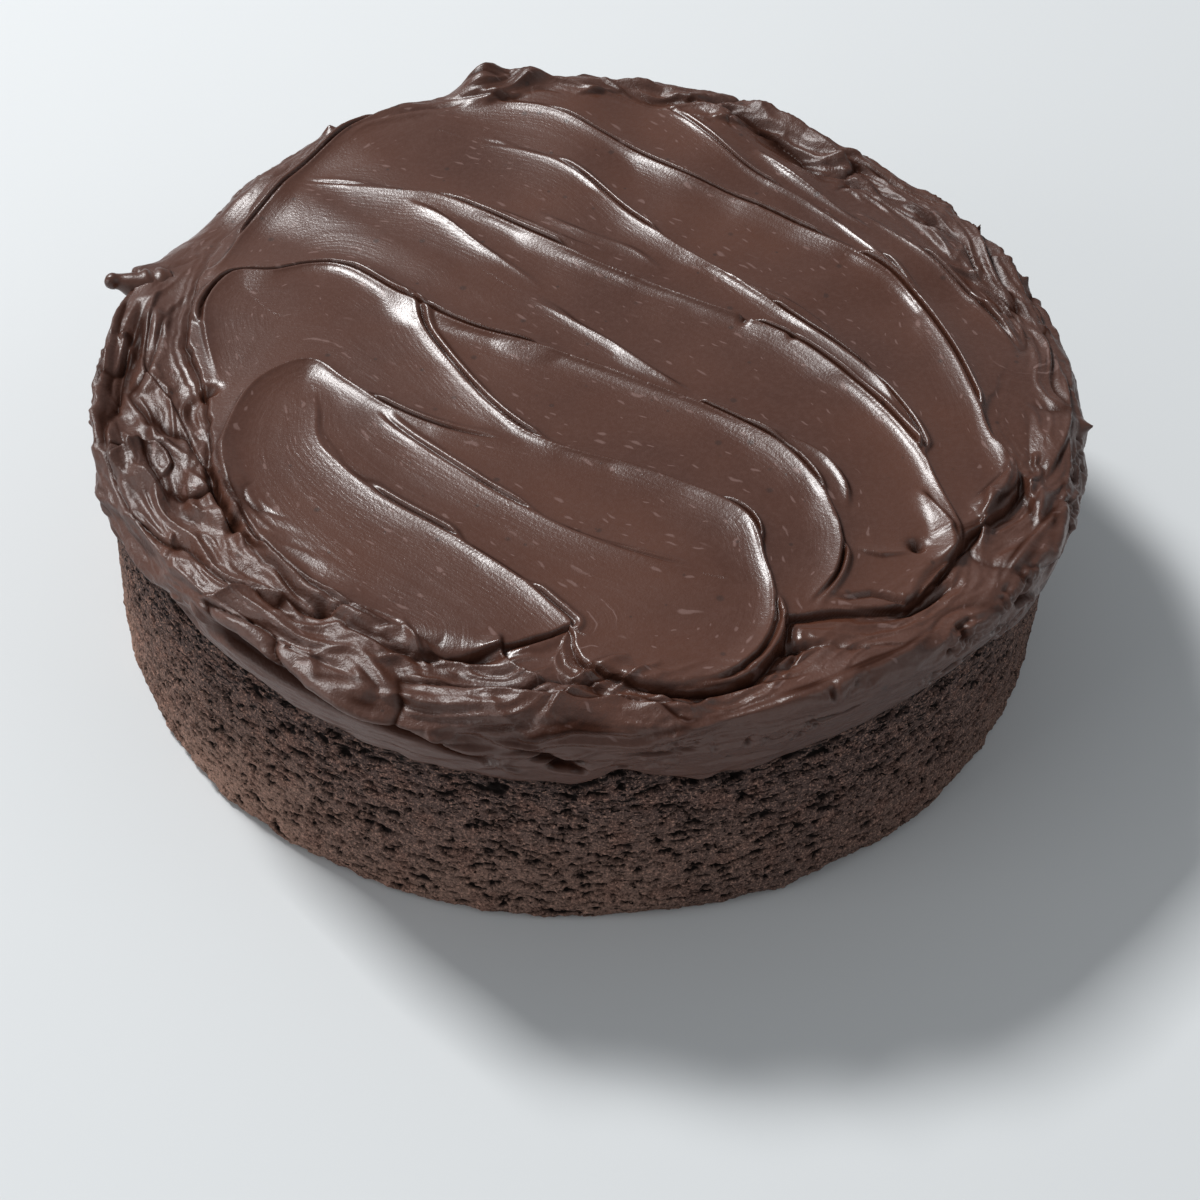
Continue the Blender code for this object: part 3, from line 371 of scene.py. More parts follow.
# The overhanging flap on the front left: the height of its lower edge, round the cake from its left end
FLAP_EDGE = ((-134, 56.0), (-127, 57.2), (-120, 56.8), (-112, 55.0), (-104, 52.4), (-96, 48.4))
FLAP_STEP = 1.4  # how far it stands out
FLAP_STEP_SOFTNESS = 0.8
FLAP_STEP_FADE = (1.0, 4.0)  # it blends into the side from this height over its edge, over this range
FLAP_END = 0.15  # share of its length over which each end fades in
FLAP_CALM_SOFTNESS = 1.2
FLAP_LIP = 0.7  # and its rounded lip beyond that
FLAP_LIP_PLACE = 1.6
FLAP_LIP_WIDTH = 1.5
# The gap under it at the left end and the right one: depth, distance below the edge, half height
FLAP_GAP_DEPTH = 2.4
FLAP_GAP_PLACE = (2.4, 1.5)
FLAP_GAP_WIDTH = (1.9, 1.2)

PIT_WOBBLE = (0.8, 0.5)  # how far their outlines wander, in degrees round the cake and in millimetres up
PIT_WOBBLE_FINER = 1.7
# painted shade in the side pits, for each millimetre of their depth
PIT_PAINTED_SHADE = 0.8
# Pits in the frosted side: angle, height, half width in degrees, half height, depth
SIDE_PITS = (
    (-90.6, 48.9, 1.6, 1.8, 2.2), (-92.6, 50.3, 1.4, 1.1, 1.7), (-94.0, 51.8, 1.8, 0.6, 1.1),
    (-88.8, 47.4, 0.8, 0.9, 1.2), (-82, 52.0, 2.6, 0.6, 0.7), (-79, 52.8, 1.4, 0.5, 0.6),
    (-64, 53.5, 2.2, 0.6, 0.9), (-61, 53.8, 1.0, 0.5, 0.7), (-85, 47.8, 0.7, 0.4, 0.5),
    (-74, 48.5, 0.5, 0.4, 0.5), (-47, 51.0, 1.4, 1.2, 1.2), (-44, 50.0, 0.8, 0.8, 1.0),
    (-40, 52.0, 1.0, 1.0, 0.9),
)

# Crumb-rough patches in the frosted side: how much of them there is, round the cake
CRUMBLE_AMOUNT = (
    (-88, 0.0), (-75, 0.7), (-55, 1.0), (-20, 1.0), (0, 0.5), (20, 0.2), (100, 0.5), (200, 0.1), (260, 0.0),
)
CRUMBLE_START = (98.5, 101.5)  # they start and are full at these distances along the surface
CRUMBLE_PATCH = 11.0
CRUMBLE_FINE = (0.5, 0.3)  # strength and size of the patches' finer outline, as parts of their own
CRUMBLE_SOFTNESS = 0.25
CRUMBLE_SIZE = 1.7
CRUMBLE_HEIGHT = 1.0
CRUMBLE_LEVEL = 0.15
CRUMBLE_RANGE = (-1.0, 0.25)  # the crumbs are low and the gaps between them deep
# painted shade in the gaps between the crumbs: how fast it grows with their depth, from what level, and its
# strength
CRUMBLE_SHADE = (-1.3, -0.15)
CRUMBLE_PAINTED_SHADE = 0.8

# Colours of the frosting, and of its grain and nicks, and the painted shade in its bubbles and creases
FROSTING_DARKER = (0.062, 0.0210, 0.0117)
FROSTING_LIGHTER = (0.084, 0.0298, 0.0166)
FROSTING_GRAIN = (0.10, 0.046, 0.034)
NICK_COLOUR = (0.18, 0.105, 0.09)
BUBBLE_PAINTED_SHADE = (0.03, 0.014, 0.010)
CREASE_PAINTED_SHADE = (0.016, 0.006, 0.004)
# Colours of the crumb: plain, crusty near the foot and stronger on the left as painted light, reddish in
# patches, its grains, and the painted shade in its holes and pores, which also darkens small specks
CRUMB_COLOUR = (0.088, 0.056, 0.049)
CRUST_WITH_PAINTED_LIGHT = (0.300, 0.182, 0.138)
CRUMB_REDDISH = (0.150, 0.075, 0.056)
GRAIN_LIGHT = (0.420, 0.245, 0.185)
GRAIN_DARK = (0.012, 0.006, 0.005)
PAINTED_SHADE_AND_SPECKS = (0.005, 0.0022, 0.0015)

# The stage: lights as name, place, size and power, all pointing at the cake
FLOOR_HALF = 6.0
FLOOR_COLOUR = (0.63, 0.65, 0.66)
LIGHTS = (
    ("key_light", (-1.12, 0.92, 1.72), 0.45, 51.0),
    ("left_fill", (-1.2, -0.7, 0.5), 0.9, 5.2),
    ("right_fill", (1.5, -0.6, 1.2), 1.2, 3.0),
)
LIGHT_TARGET = (0.0, 0.0, 0.03)
SURROUND_COLOUR = (0.92, 0.96, 1.0, 1.0)
SURROUND_STRENGTH = 0.32


def smooth_step(value):
    value = np.clip(value, 0.0, 1.0)
    return value * value * (3.0 - 2.0 * value)


def bell(distance, width):
    """1 where the distance is 0, falling off on both sides over the width."""
    return np.exp(-(distance / width) ** 2)


def around(angle, table):
    """The value that a table of (degrees, value) gives at these angles, easing from entry to entry."""
    entries = sorted((a % 360.0, v) for a, v in table)
    angles = np.array([entries[-1][0] - 360.0] + [a for a, _ in entries] + [entries[0][0] + 360.0])
    values = np.array([entries[-1][1]] + [v for _, v in entries] + [entries[0][1]])
    angle = np.asarray(angle) % 360.0
    after = np.clip(np.searchsorted(angles, angle, side="right"), 1, len(angles) - 1)
    share = smooth_step((angle - angles[after - 1]) / (angles[after] - angles[after - 1]))
    return values[after - 1] * (1.0 - share) + values[after] * share


def noise(points, seed):
    """Smooth noise from -1 to 1, with one feature for each unit of distance."""
    cell = np.floor(points).astype(np.int64)
    share = points - cell
    share = share * share * (3.0 - 2.0 * share)
    total = np.zeros(len(points))
    for corner in itertools.product((0, 1), repeat=points.shape[1]):
        weight = np.ones(len(points))
        mixed = np.full(len(points), seed * HASH_START, np.int64)
        for axis, step in enumerate(corner):
            weight *= share[:, axis] if step else 1.0 - share[:, axis]
            mixed = (mixed ^ (cell[:, axis] + step + HASH_SHIFT)) * HASH_FACTOR & HASH_BITS
            mixed ^= mixed >> HASH_FOLD
        total += weight * ((mixed & HASH_PART) / (HASH_PART / 2) - 1.0)
    return total


def rough(points, seed, layers=3):
    """Noise with finer layers added, each half as high and half as wide."""
    total = np.zeros(len(points))
    for layer in range(layers):
        total += 0.5 ** layer * noise(points * 2.0 ** layer, seed + layer)
    return total


def layered(points, layers):
    """The sum of noises, each given as (amount, size, seed)."""
    return sum(amount * noise(points / size, seed) for amount, size, seed in layers)


def patchy(points, seed, share):
    """Noise that comes and goes between 0 and 1: share holds how abruptly, and how much of the time."""
    return smooth_step(noise(points, seed) * share[0] + share[1])


def smooth_line(points, closed=False, spacing=2.0):
    """Points read every few millimetres from a Catmull-Rom curve through the given ones."""
    points = np.array(points, float)
    if closed:
        ends = np.vstack([points[-1], points, points[0], points[1]])
    else:
        ends = np.vstack([2 * points[0] - points[1], points, 2 * points[-1] - points[-2]])
    line = []
    for before, start, end, after in zip(ends, ends[1:], ends[2:], ends[3:]):
        count = max(2, int(np.hypot(*(end - start)[:2]) / spacing))
        for t in np.arange(count) / count:
            line.append(0.5 * (2 * start + (end - before) * t
                               + (2 * before - 5 * start + 4 * end - after) * t ** 2
                               + (3 * start - before - 3 * end + after) * t ** 3))
    line.append(ends[-2])
    return np.array(line)


def beside(line, x, y):
    """Distance to the line's nearest point, positive on its right, what it holds there and its right."""
    nearest = np.full(len(x), np.inf)
    side = np.ones(len(x))
    held = np.zeros((len(x), line.shape[1] - 2))
    right = np.zeros((len(x), 2))
    for start, end in zip(line, line[1:]):
        run = end - start
        length2 = run[0] ** 2 + run[1] ** 2
        share = np.clip(((x - start[0]) * run[0] + (y - start[1]) * run[1]) / length2, 0.0, 1.0)
        across_x = x - start[0] - share * run[0]
        across_y = y - start[1] - share * run[1]
        distance = across_x ** 2 + across_y ** 2
        closer = distance < nearest
        nearest[closer] = distance[closer]
        side[closer] = np.where(across_x[closer] * run[1] - across_y[closer] * run[0] >= 0, 1.0, -1.0)
        held[closer] = start[2:] + share[closer, None] * run[2:]
        right[closer] = np.array([run[1], -run[0]]) / math.sqrt(length2)
    return np.sqrt(nearest) * side, held, right


def crest_height(distance, height, width, creased, spread):
    """A spatula crest's cross-section: a hollow slope on the right, a steep lip on the left.

    Where creased is 1, a crease splits the crest's top and the lip stands further back. Where spread is 1,
    the steep part is widest.
    """
    hollow = np.clip(1.0 - distance / (CREST_SLOPE_REACH * width), 0.0, 1.0) ** 2
    steep_reach = CREST_STEEP_REACH[0] + (CREST_STEEP_REACH[1] - CREST_STEEP_REACH[0]) * spread
    steep = np.exp(-np.maximum(distance, 0.0) / steep_reach)
    slope = CREST_STEEP_PART * steep + (1.0 - CREST_STEEP_PART) * hollow
    behind = np.minimum(distance + CREASE_SPAN * creased, 0.0)
    lip = smooth_step(1.0 + behind / CREST_LIP_WIDTH)
    back = np.clip(1.0 + behind / CREST_BACK_WIDTH, 0.0, 1.0) ** 2
    crease = CREASE_DEPTH * creased * bell(distance + CREASE_PLACE, CREASE_WIDTH)
    return height * (np.where(distance >= 0, slope, CREST_LIP * lip + (1.0 - CREST_LIP) * back) - crease)


def fold_height(distance, height, width, creased, spread):
    """A torn fold's cross-section: steep on one side, rounder on the other."""
    steep = bell(distance, np.maximum(FOLD_STEEP_PART * width, FOLD_STEEPEST))
    return height * np.where(distance >= 0, bell(distance, width), steep)


def crest_shade(distance, height, width, creased):
    """The painted shade in the creases behind a crest: in its split top and at the foot of its lip."""
    split = creased * bell(distance + CREASE_PLACE, SHADE_WIDTH)
    foot = bell(distance + CREASE_SPAN * creased + SHADE_PLACE, SHADE_WIDTH)
    return smooth_step(height / SHADE_FULL_HEIGHT) * np.maximum(split, foot * (1.0 - 0.5 * creased))


def fold_shade(distance, height, width, creased):
    """The painted shade at the foot of a torn fold's steep side."""
    foot = -FOLD_SHADE_PLACE * np.maximum(FOLD_STEEP_PART * width, FOLD_STEEPEST)
    return FOLD_SHADE * smooth_step(height / FOLD_SHADE_HEIGHT) * bell(distance - foot, SHADE_WIDTH)


def add_crest(relief, shift, shade, x, y, points, profile, flow=None):
    """Adds one crest to the relief, its lean to the sideways shift and the painted shade of its creases to
    the shade, near it.

    Where it is the nearest crest yet, flow takes the distance from it and the place along it. Its first two
    columns are the distances to the nearest crest and to the next one.
    """
    line = smooth_line(points)
    steps = np.hypot(*np.diff(line[:, :2], axis=0).T)
    line = np.column_stack([line, np.concatenate([[0.0], np.cumsum(steps)])])
    back_reach = CREST_BACK_WIDTH if profile is crest_height else 0.0
    reach = max(line[:, 3].max() * CREST_SLOPE_REACH, back_reach) + 1.0
    if flow is not None:
        reach = max(reach, FLOW_REACH)
    near = ((x > line[:, 0].min() - reach) & (x < line[:, 0].max() + reach)
            & (y > line[:, 1].min() - reach) & (y < line[:, 1].max() + reach))
    if not near.any():
        return
    distance, held, right = beside(line, x[near], y[near])
    height = np.maximum(held[:, 0], 0.0)
    place = np.stack([x[near], y[near]], 1)
    creased = patchy(place / CREASE_PATCH, 71, CREASE_SHARE) if flow is not None else np.zeros(len(distance))
    spread = patchy(place / SPREAD_PATCH, 72, SPREAD_SHARE)
    width = np.maximum(held[:, 1], CREST_LEAST_WIDTH)
    relief[near] += profile(distance, height, width, creased, spread)
    shader = crest_shade if profile is crest_height else fold_shade
    strength = SHADE_LEAST + (1.0 - SHADE_LEAST) * patchy(place / SHADE_PATCH, 73, (1.0, 0.5))
    shade[near] = np.maximum(shade[near], shader(distance, height, width, creased) * strength)
    if profile is crest_height:
        lean = CREST_LEAN * height * bell(distance, CREST_LEAN_WIDTH)
        shift[near] -= right * lean[:, None]
    if flow is not None:
        nearest = flow[near]
        away = np.abs(distance)
        closer = away < nearest[:, 0]
        nearest[:, 1] = np.where(closer, nearest[:, 0], np.minimum(nearest[:, 1], away))
        nearest[closer, 0] = away[closer]
        nearest[closer, 2] = distance[closer]
        nearest[closer, 3] = held[closer, 2]
        flow[near] = nearest


def rim_folds():
    """The torn folds round the rim, each as a short crest."""
    rng = np.random.default_rng(SEED)
    for count, radii, lengths, heights, widths, largest_slant in FOLD_KINDS:
        for _ in range(count):
            angle = rng.uniform(-180.0, 180.0)
            radius = rng.uniform(*radii)
            length = rng.uniform(*lengths)
            height = rng.uniform(*heights)
            width = rng.uniform(*widths)
            slant = math.radians(rng.uniform(-largest_slant, largest_slant))
            if any(start < angle < end for start, end in SMOOTH_RIM):
                continue
            points = []
            for share, part in ((-0.5, 0.0), (-0.2, 1.0), (0.2, 1.0), (0.5, 0.0)):
                turn = math.radians(angle) + share * length * math.cos(slant) / radius
                out = radius + share * length * math.sin(slant)
                points.append((out * math.cos(turn), out * math.sin(turn), part * height, width))
            yield points


def plateau_drop(x, y):
    """The raised middle's edge: how far the rim lies below it, its lean and the painted shade at its foot."""
    outline = smooth_line(PLATEAU, closed=True)
    distance, held, right = beside(outline, x, y)
    place = np.stack([x, y], 1)
    outside = PLATEAU_RAGGED * rough(place / PLATEAU_RAGGED_SIZE, 76, 2) - distance
    drop = np.maximum(held[:, 0], 0.0)
    fall = smooth_step(outside / PLATEAU_EDGE) * (1.0 - smooth_step(outside / PLATEAU_REACH))
    sway = noise(place / PLATEAU_SWAY, 75)
    depth, change, place, width = PLATEAU_MOAT
    moat = (depth + change * sway) * bell(outside - place, width)
    mean, height_change, place_change = PLATEAU_LINE_SWAY
    for place, height, width in PLATEAU_LINES:
        ridge = bell(outside - place * (1.0 + place_change * sway), width)
        moat = moat - height * (mean + height_change * sway) * ridge
    lean = -right * (PLATEAU_LEAN * drop * bell(outside, CREST_LEAN_WIDTH))[:, None]
    shade = smooth_step(drop / PLATEAU_SHADE_DROP) * bell(outside - PLATEAU_EDGE, SHADE_WIDTH)
    return drop * (fall + moat), lean, shade


def rim_places(angle, along):
    """Points on a tube round the cake, for noise that runs on from the shoulder to the side."""
    turn = np.radians(angle)
    return np.stack([SHOULDER_START * np.cos(turn), SHOULDER_START * np.sin(turn), along], 1)


def torn_rim(angle, along):
    """The torn surface round the rim, of sharp ridges drawn out along it: relief, painted shade and amount.
    """
    place = rim_places(angle, along)
    bends = [noise(place / size, 51 + axis) for axis, size in enumerate(TORN_BEND_SIZES)]
    bent = place + TORN_BEND * np.stack(bends, 1)
    strands = np.zeros(len(angle))
    shade = np.zeros(len(angle))
    fine = around(angle, TORN_FINE)
    for layer, (stretch, width, height) in enumerate(TORN_LAYERS):
        ridge = 1.0 - np.hypot(noise(bent / np.array([stretch, stretch, width]), 60 + layer), TORN_ROUND)
        amount = fine if (stretch, width, height) == TORN_LAYERS[-1] else 1.0
        strands += amount * height * (ridge ** TORN_POWER - TORN_MIDDLE)
        shade = np.maximum(shade, height / TORN_LAYERS[0][2] * smooth_step((TORN_SHADE - ridge) / TORN_SHADE))
    zone = smooth_step((along - around(angle, TORN_START)) / TORN_FADES[0])
    zone = zone * (1.0 - smooth_step((along - around(angle, TORN_END)) / TORN_FADES[1]))
    zone = zone * around(angle, TORN_AMOUNT)
    strands += CRUMPLE_HEIGHT * rough(bent / CRUMPLE_SIZE, 68, 2)
    cleft = (1.0 - np.abs(noise(bent / CLEFT_SIZE, 66))) ** CLEFT_SHARPNESS
    strands -= CLEFT_DEPTH * cleft
    shade = np.maximum(shade, smooth_step(CLEFT_SHADE[0] * cleft + CLEFT_SHADE[1]))
    return strands * zone, shade * zone, zone


def top_relief(x, y):
    """The swirls on the surface laid out flat: height, lean, the strokes' flow and the painted shade of the
    creases.

    The flow holds the places across and along the strokes, and how clear their marks are.
    """
    relief = np.zeros(len(x))
    shift = np.zeros((len(x), 2))
    shade = np.zeros(len(x))
    turn = math.radians(STROKE_ANGLE)
    flow = np.stack([np.full(len(x), FLOW_START), np.full(len(x), 2 * FLOW_START),
                     x * math.sin(turn) - y * math.cos(turn), x * math.cos(turn) + y * math.sin(turn)], 1)
    for points in CRESTS:
        add_crest(relief, shift, shade, x, y, points, crest_height, flow)
    for points in RIM_RIDGES + THIN_FOLDS:
        add_crest(relief, shift, shade, x, y, points, crest_height)
    for points in rim_folds():
        add_crest(relief, shift, shade, x, y, points, fold_height)
    for hollow_x, hollow_y, radius, depth in HOLLOWS:
        bowl = np.exp(-((x - hollow_x) ** 2 + (y - hollow_y) ** 2) / radius ** 2)
        relief -= depth * bowl
        # painted shade in the hollow
        shade = np.maximum(shade, bowl ** 2)
    for groove in GROOVES:
        distance, held, _ = beside(smooth_line(groove), x, y)
        depth = np.maximum(held[:, 0], 0.0)
        trough = bell(distance, np.maximum(held[:, 1], GROOVE_LEAST_WIDTH))
        relief -= depth * trough
        # painted shade along the groove's bottom
        shade = np.maximum(shade, smooth_step(depth / GROOVE_SHADE_DEPTH) * trough ** 3)
    drop, lean, edge_shade = plateau_drop(x, y)
    clear = smooth_step((flow[:, 1] - flow[:, 0] - FLOW_SEAM[0]) / (FLOW_SEAM[1] - FLOW_SEAM[0]))
    clear *= 1.0 - smooth_step((flow[:, 0] - FLOW_FADE[0]) / (FLOW_FADE[1] - FLOW_FADE[0]))
    return relief - drop, shift + lean, np.column_stack([flow[:, 2:], clear]), np.maximum(shade, edge_shade)


def flap_step(angle, z):
    """The overhanging flap: how far it stands out, the painted shade in its gap, and the calm band below it.
    """
    angles, heights = np.array(FLAP_EDGE, float).T
    edge = np.interp(angle, angles, heights)
    share = (angle - angles[0]) / (angles[-1] - angles[0])
    ends = smooth_step(share / FLAP_END) * smooth_step((1.0 - share) / FLAP_END)
    below = edge - z
    place = np.interp(share, (0.0, 1.0), FLAP_GAP_PLACE)
    width = np.interp(share, (0.0, 1.0), FLAP_GAP_WIDTH)
    gap = ends * np.exp(-((below - place) / width) ** 4)
    lip = FLAP_LIP * bell(below + FLAP_LIP_PLACE, FLAP_LIP_WIDTH)
    start, length = FLAP_STEP_FADE
    step = FLAP_STEP * smooth_step(0.5 - below / FLAP_STEP_SOFTNESS)
    step = step * (1.0 - smooth_step((-below - start) / length))
    calm = ends * smooth_step(0.5 + below / FLAP_CALM_SOFTNESS)
    return ends * (step + lip) - FLAP_GAP_DEPTH * gap, gap, calm


def side_pits(angle, z):
    """How deep the pits in the frosted side are."""
    pits = np.zeros(len(angle))
    for middle, level, half_width, half_height, depth in SIDE_PITS:
        across = ((angle - middle + 180.0) % 360.0 - 180.0) / half_width
        pits += depth * np.exp(-(across ** 2 + ((z - level) / half_height) ** 2) ** 2)
    return pits


def crumbly_patches(angle, along):
    """Crumb-rough patches in the frosted side: their relief and the painted shade in their pits."""
    place = rim_places(angle, along)
    fine_strength, fine_size = CRUMBLE_FINE
    outline = noise(place / CRUMBLE_PATCH, 91)
    outline += fine_strength * noise(place / (fine_size * CRUMBLE_PATCH), 93)
    patch = smooth_step(outline / CRUMBLE_SOFTNESS)
    start, full = CRUMBLE_START
    patch = patch * around(angle, CRUMBLE_AMOUNT) * smooth_step((along - start) / (full - start))
    crumbs = patch * np.clip(rough(place / CRUMBLE_SIZE, 92, 2) - CRUMBLE_LEVEL, *CRUMBLE_RANGE)
    return CRUMBLE_HEIGHT * crumbs, smooth_step(CRUMBLE_SHADE[0] * crumbs + CRUMBLE_SHADE[1])


def frosting_points(x, y, turn, down, under, angle):
    """Points of the frosting, the strokes' flow there, the painted shade of the creases and how torn the
    surface is.

    x and y place a point on the flat top out to the shoulder. turn, down and under go from 0 to 1 over the
    shoulder, down the side and in under the lower edge.
    """
    rim = around(angle, RIM_TOP)
    side = around(angle, SIDE_RADIUS)
    cosine = np.cos(np.radians(angle))
    sine = np.sin(np.radians(angle))
    edge = around(angle, LOWER_EDGE) + EDGE_WAVE_HEIGHT * noise(np.stack([cosine, sine], 1) * EDGE_WAVES, 3)

    inner = np.hypot(x, y)
    height = TOP_CENTRE + (rim - TOP_CENTRE) * (inner / SHOULDER_START) ** TOP_BEND
    squareness = around(angle, SHOULDER_SQUARENESS)
    start_pull = turn ** (1.0 / squareness)
    end_pull = (1.0 - turn) ** (1.0 / squareness)
    lean = math.pi / 2 * start_pull / (start_pull + end_pull)
    radius = inner + (side - SHOULDER_START) * np.sin(lean) ** squareness
    height = height - SHOULDER_DROP * (1.0 - np.cos(lean) ** squareness)
    fall = (rim - SHOULDER_DROP - edge) * down
    radius = radius - (side - EDGE_RADIUS) * down ** SIDE_BEND
    height = height - fall
    along = inner + SHOULDER_LENGTH * turn + fall

    smear = np.stack([angle, height], 1) / SMEAR_SIZE
    relief, shift, flow, shade = top_relief(along * cosine, along * sine)
    strands, strand_shade, torn = torn_rim(angle, along)
    flap, flap_shade, calm = flap_step(angle, height)
    on_side = (lean > SIDE_LEAN) * (under <= 0)
    pits = side_pits(angle + PIT_WOBBLE[0] * noise(smear, 23),
                     height + PIT_WOBBLE[1] * noise(smear * PIT_WOBBLE_FINER, 24))
    fade = (1.0 - smooth_step((down - STRANDS_END) / (1.0 - STRANDS_END))) * (1.0 - calm)
    crumbs, crumb_shade = crumbly_patches(angle, along)
    crumbs = crumbs * (1.0 - under)
    relief = (relief + strands) * fade + (flap - pits) * on_side + crumbs
    # painted shade in the flap's gap, the side pits and the crumbs' gaps
    side_shade = (flap_shade + np.minimum(PIT_PAINTED_SHADE * pits, 1.0)) * on_side
    shade = np.maximum(np.maximum(shade, strand_shade) * fade, CRUMBLE_PAINTED_SHADE * crumb_shade)
    shade = np.maximum(shade, side_shade)
    relief = relief + SMEAR_HEIGHT * rough(smear, 21) * smooth_step(turn * 2.0) * (1.0 - under)
    outward = relief * np.sin(lean)
    upward = relief * np.cos(lean)
    for tip_angle, tip_along, spread, out, up, roundness in PULLED_TIPS:
        offset = along * np.exp(1j * np.radians(angle)) - tip_along * np.exp(1j * math.radians(tip_angle))
        pull = np.exp(-(np.abs(offset) / spread) ** roundness) * (under <= 0)
        outward = outward + out * pull
        upward = upward + up * pull
    radius = radius + outward - UNDER_DEPTH * under ** UNDER_BEND
    bulge = UNDER_BULGE * np.sin(math.pi * np.clip(under * UNDER_BULGE_END, 0.0, 1.0))
    height = height + upward - bulge + UNDER_RISE * under
    shift = shift * (np.cos(lean) ** 2)[:, None]
    points = np.stack([radius * cosine + shift[:, 0], radius * sine + shift[:, 1], height], 1)
    return points, flow, shade, torn


def ring_faces(first, count, rings):
    """Quads between rings of points that follow one another, from the first ring outwards."""
    step = np.arange(count)
    ahead = (step + 1) % count
    faces = []
    for ring in range(rings):
        start = first + ring * count
        faces.append(np.stack([start + step, start + count + step, start + count + ahead, start + ahead], 1))
    return np.concatenate(faces)


def mesh_object(name, points, quads, caps):
    """A smooth-shaded object from points in millimetres, quads and a few large flat caps."""
    faces = [tuple(quad) for quad in quads.tolist()] + [tuple(cap) for cap in caps]
    mesh = bpy.data.meshes.new(name)
    mesh.from_pydata((points * MM).tolist(), [], faces)
    mesh.validate()
    mesh.shade_smooth()
    made = bpy.data.objects.new(name, mesh)
    bpy.context.scene.collection.objects.link(made)
    return made


def keep_values(made, name, values):
    """Stores one value for each point of an object, for its material."""
    held = made.data.attributes.new(name, "FLOAT", "POINT")
    held.data.foreach_set("value", values.astype(np.float32))


def make_frosting():
    """The frosting: a square grid eased into a disc for the top, and rings down the shoulder and side."""
    side = np.linspace(-1.0, 1.0, TOP_CELLS + 1)
    u, v = np.meshgrid(side, side)
    u, v = u.ravel(), v.ravel()
    wide = np.abs(u) >= np.abs(v)
    reach = np.where(wide, u, v)
    turn = np.divide(np.where(wide, v, u), reach, out=np.zeros_like(u), where=reach != 0) * math.pi / 4
    top_x = SHOULDER_START * reach * np.where(wide, np.cos(turn), np.sin(turn))
    top_y = SHOULDER_START * reach * np.where(wide, np.sin(turn), np.cos(turn))

    row = TOP_CELLS + 1
    number = np.arange(row * row).reshape(row, row)
    corners_of_cells = number[:-1, :-1], number[:-1, 1:], number[1:, 1:], number[1:, :-1]
    top_faces = np.stack(corners_of_cells, -1).reshape(-1, 4)
    border = np.concatenate([number[0, :-1], number[:-1, -1], number[-1, :0:-1], number[:0:-1, 0]])
    count = len(border)
    border_angle = np.degrees(np.arctan2(top_y[border], top_x[border]))

    kinds = [((ring + 1) / SHOULDER_RINGS, 0.0, 0.0) for ring in range(SHOULDER_RINGS)]
    kinds += [(1.0, (ring + 1) / SIDE_RINGS, 0.0) for ring in range(SIDE_RINGS)]
    kinds += [(1.0, 1.0, (ring + 1) / UNDER_RINGS) for ring in range(UNDER_RINGS)]
    zero = np.zeros(len(top_x))
    blocks = [(top_x, top_y, zero, zero, zero, np.degrees(np.arctan2(top_y, top_x)))]
    for shares in kinds:
        turn_down_under = [np.full(count, share) for share in shares]
        blocks.append((top_x[border], top_y[border], *turn_down_under, border_angle))
    points, flow, shade, torn = frosting_points(*(np.concatenate(column) for column in zip(*blocks)))
    inner = np.column_stack([INNER_PART * points[-count:, :2], np.full(count, SPONGE_HEIGHT - INNER_DROP)])
    points = np.vstack([points, inner])
    flow = np.vstack([flow, flow[-count:]])
    shade = np.concatenate([shade, shade[-count:]])
    torn = np.concatenate([torn, torn[-count:]])

    first_ring = row * row
    ring_count = len(kinds)
    ahead = np.roll(np.arange(count), -1)
    joining = np.stack([border, first_ring + np.arange(count), first_ring + ahead, border[ahead]], 1)
    faces = np.vstack([top_faces, joining, ring_faces(first_ring, count, ring_count)])
    last = first_ring + ring_count * count
    inner_cap = list(range(last + count - 1, last - 1, -1))
    frosting = mesh_object("frosting_swirled", points, faces, [inner_cap])
    held = frosting.data.attributes.new("stroke", "FLOAT_VECTOR", "POINT")
    held.data.foreach_set("vector", flow.astype(np.float32).ravel())
    keep_values(frosting, "shade", shade)
    keep_values(frosting, "torn", torn)
    frosting.data.materials.append(frosting_material())
    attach(frosting, "root")
    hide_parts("frosting")


def blob_points():
    """Rings of points round the blob's path, with its thickness at each place."""
    line = smooth_line(BLOB, spacing=BLOB_SPACING)
    ahead = np.gradient(line[:, :3], axis=0)
    ahead /= np.linalg.norm(ahead, axis=1)[:, None]
    across = np.cross(ahead, BLOB_ACROSS)
    across /= np.linalg.norm(across, axis=1)[:, None]
    other = np.cross(ahead, across)
    turn = np.arange(BLOB_SIDES) / BLOB_SIDES * 2 * math.pi
    ring = across[:, None] * np.cos(turn)[None, :, None] + other[:, None] * np.sin(turn)[None, :, None]
    lumps = noise((line[:, None, :3] + BLOB_LUMP_RING * ring).reshape(-1, 3) / BLOB_LUMP_SIZE, 81)
    lumps = 1.0 + BLOB_LUMP_HEIGHT * lumps.reshape(len(line), BLOB_SIDES, 1)
    thickness = 0.5 * np.maximum(line[:, 3], BLOB_LEAST_THICKNESS)[:, None, None]
    return (line[:, None, :3] + thickness * ring * lumps).reshape(-1, 3)


def make_blob():
    """The blob of frosting that the spatula pulled out of the rim."""
    points = blob_points()
    faces = ring_faces(0, BLOB_SIDES, len(points) // BLOB_SIDES - 1)[:, ::-1]
    start_cap = list(range(BLOB_SIDES - 1, -1, -1))
    end_cap = list(range(len(points) - BLOB_SIDES, len(points)))
    blob = mesh_object("frosting_curls", points, faces, [start_cap, end_cap])
    blob.data.materials.append(bpy.data.materials["chocolate_frosting_satin"])
    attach(blob, "root")


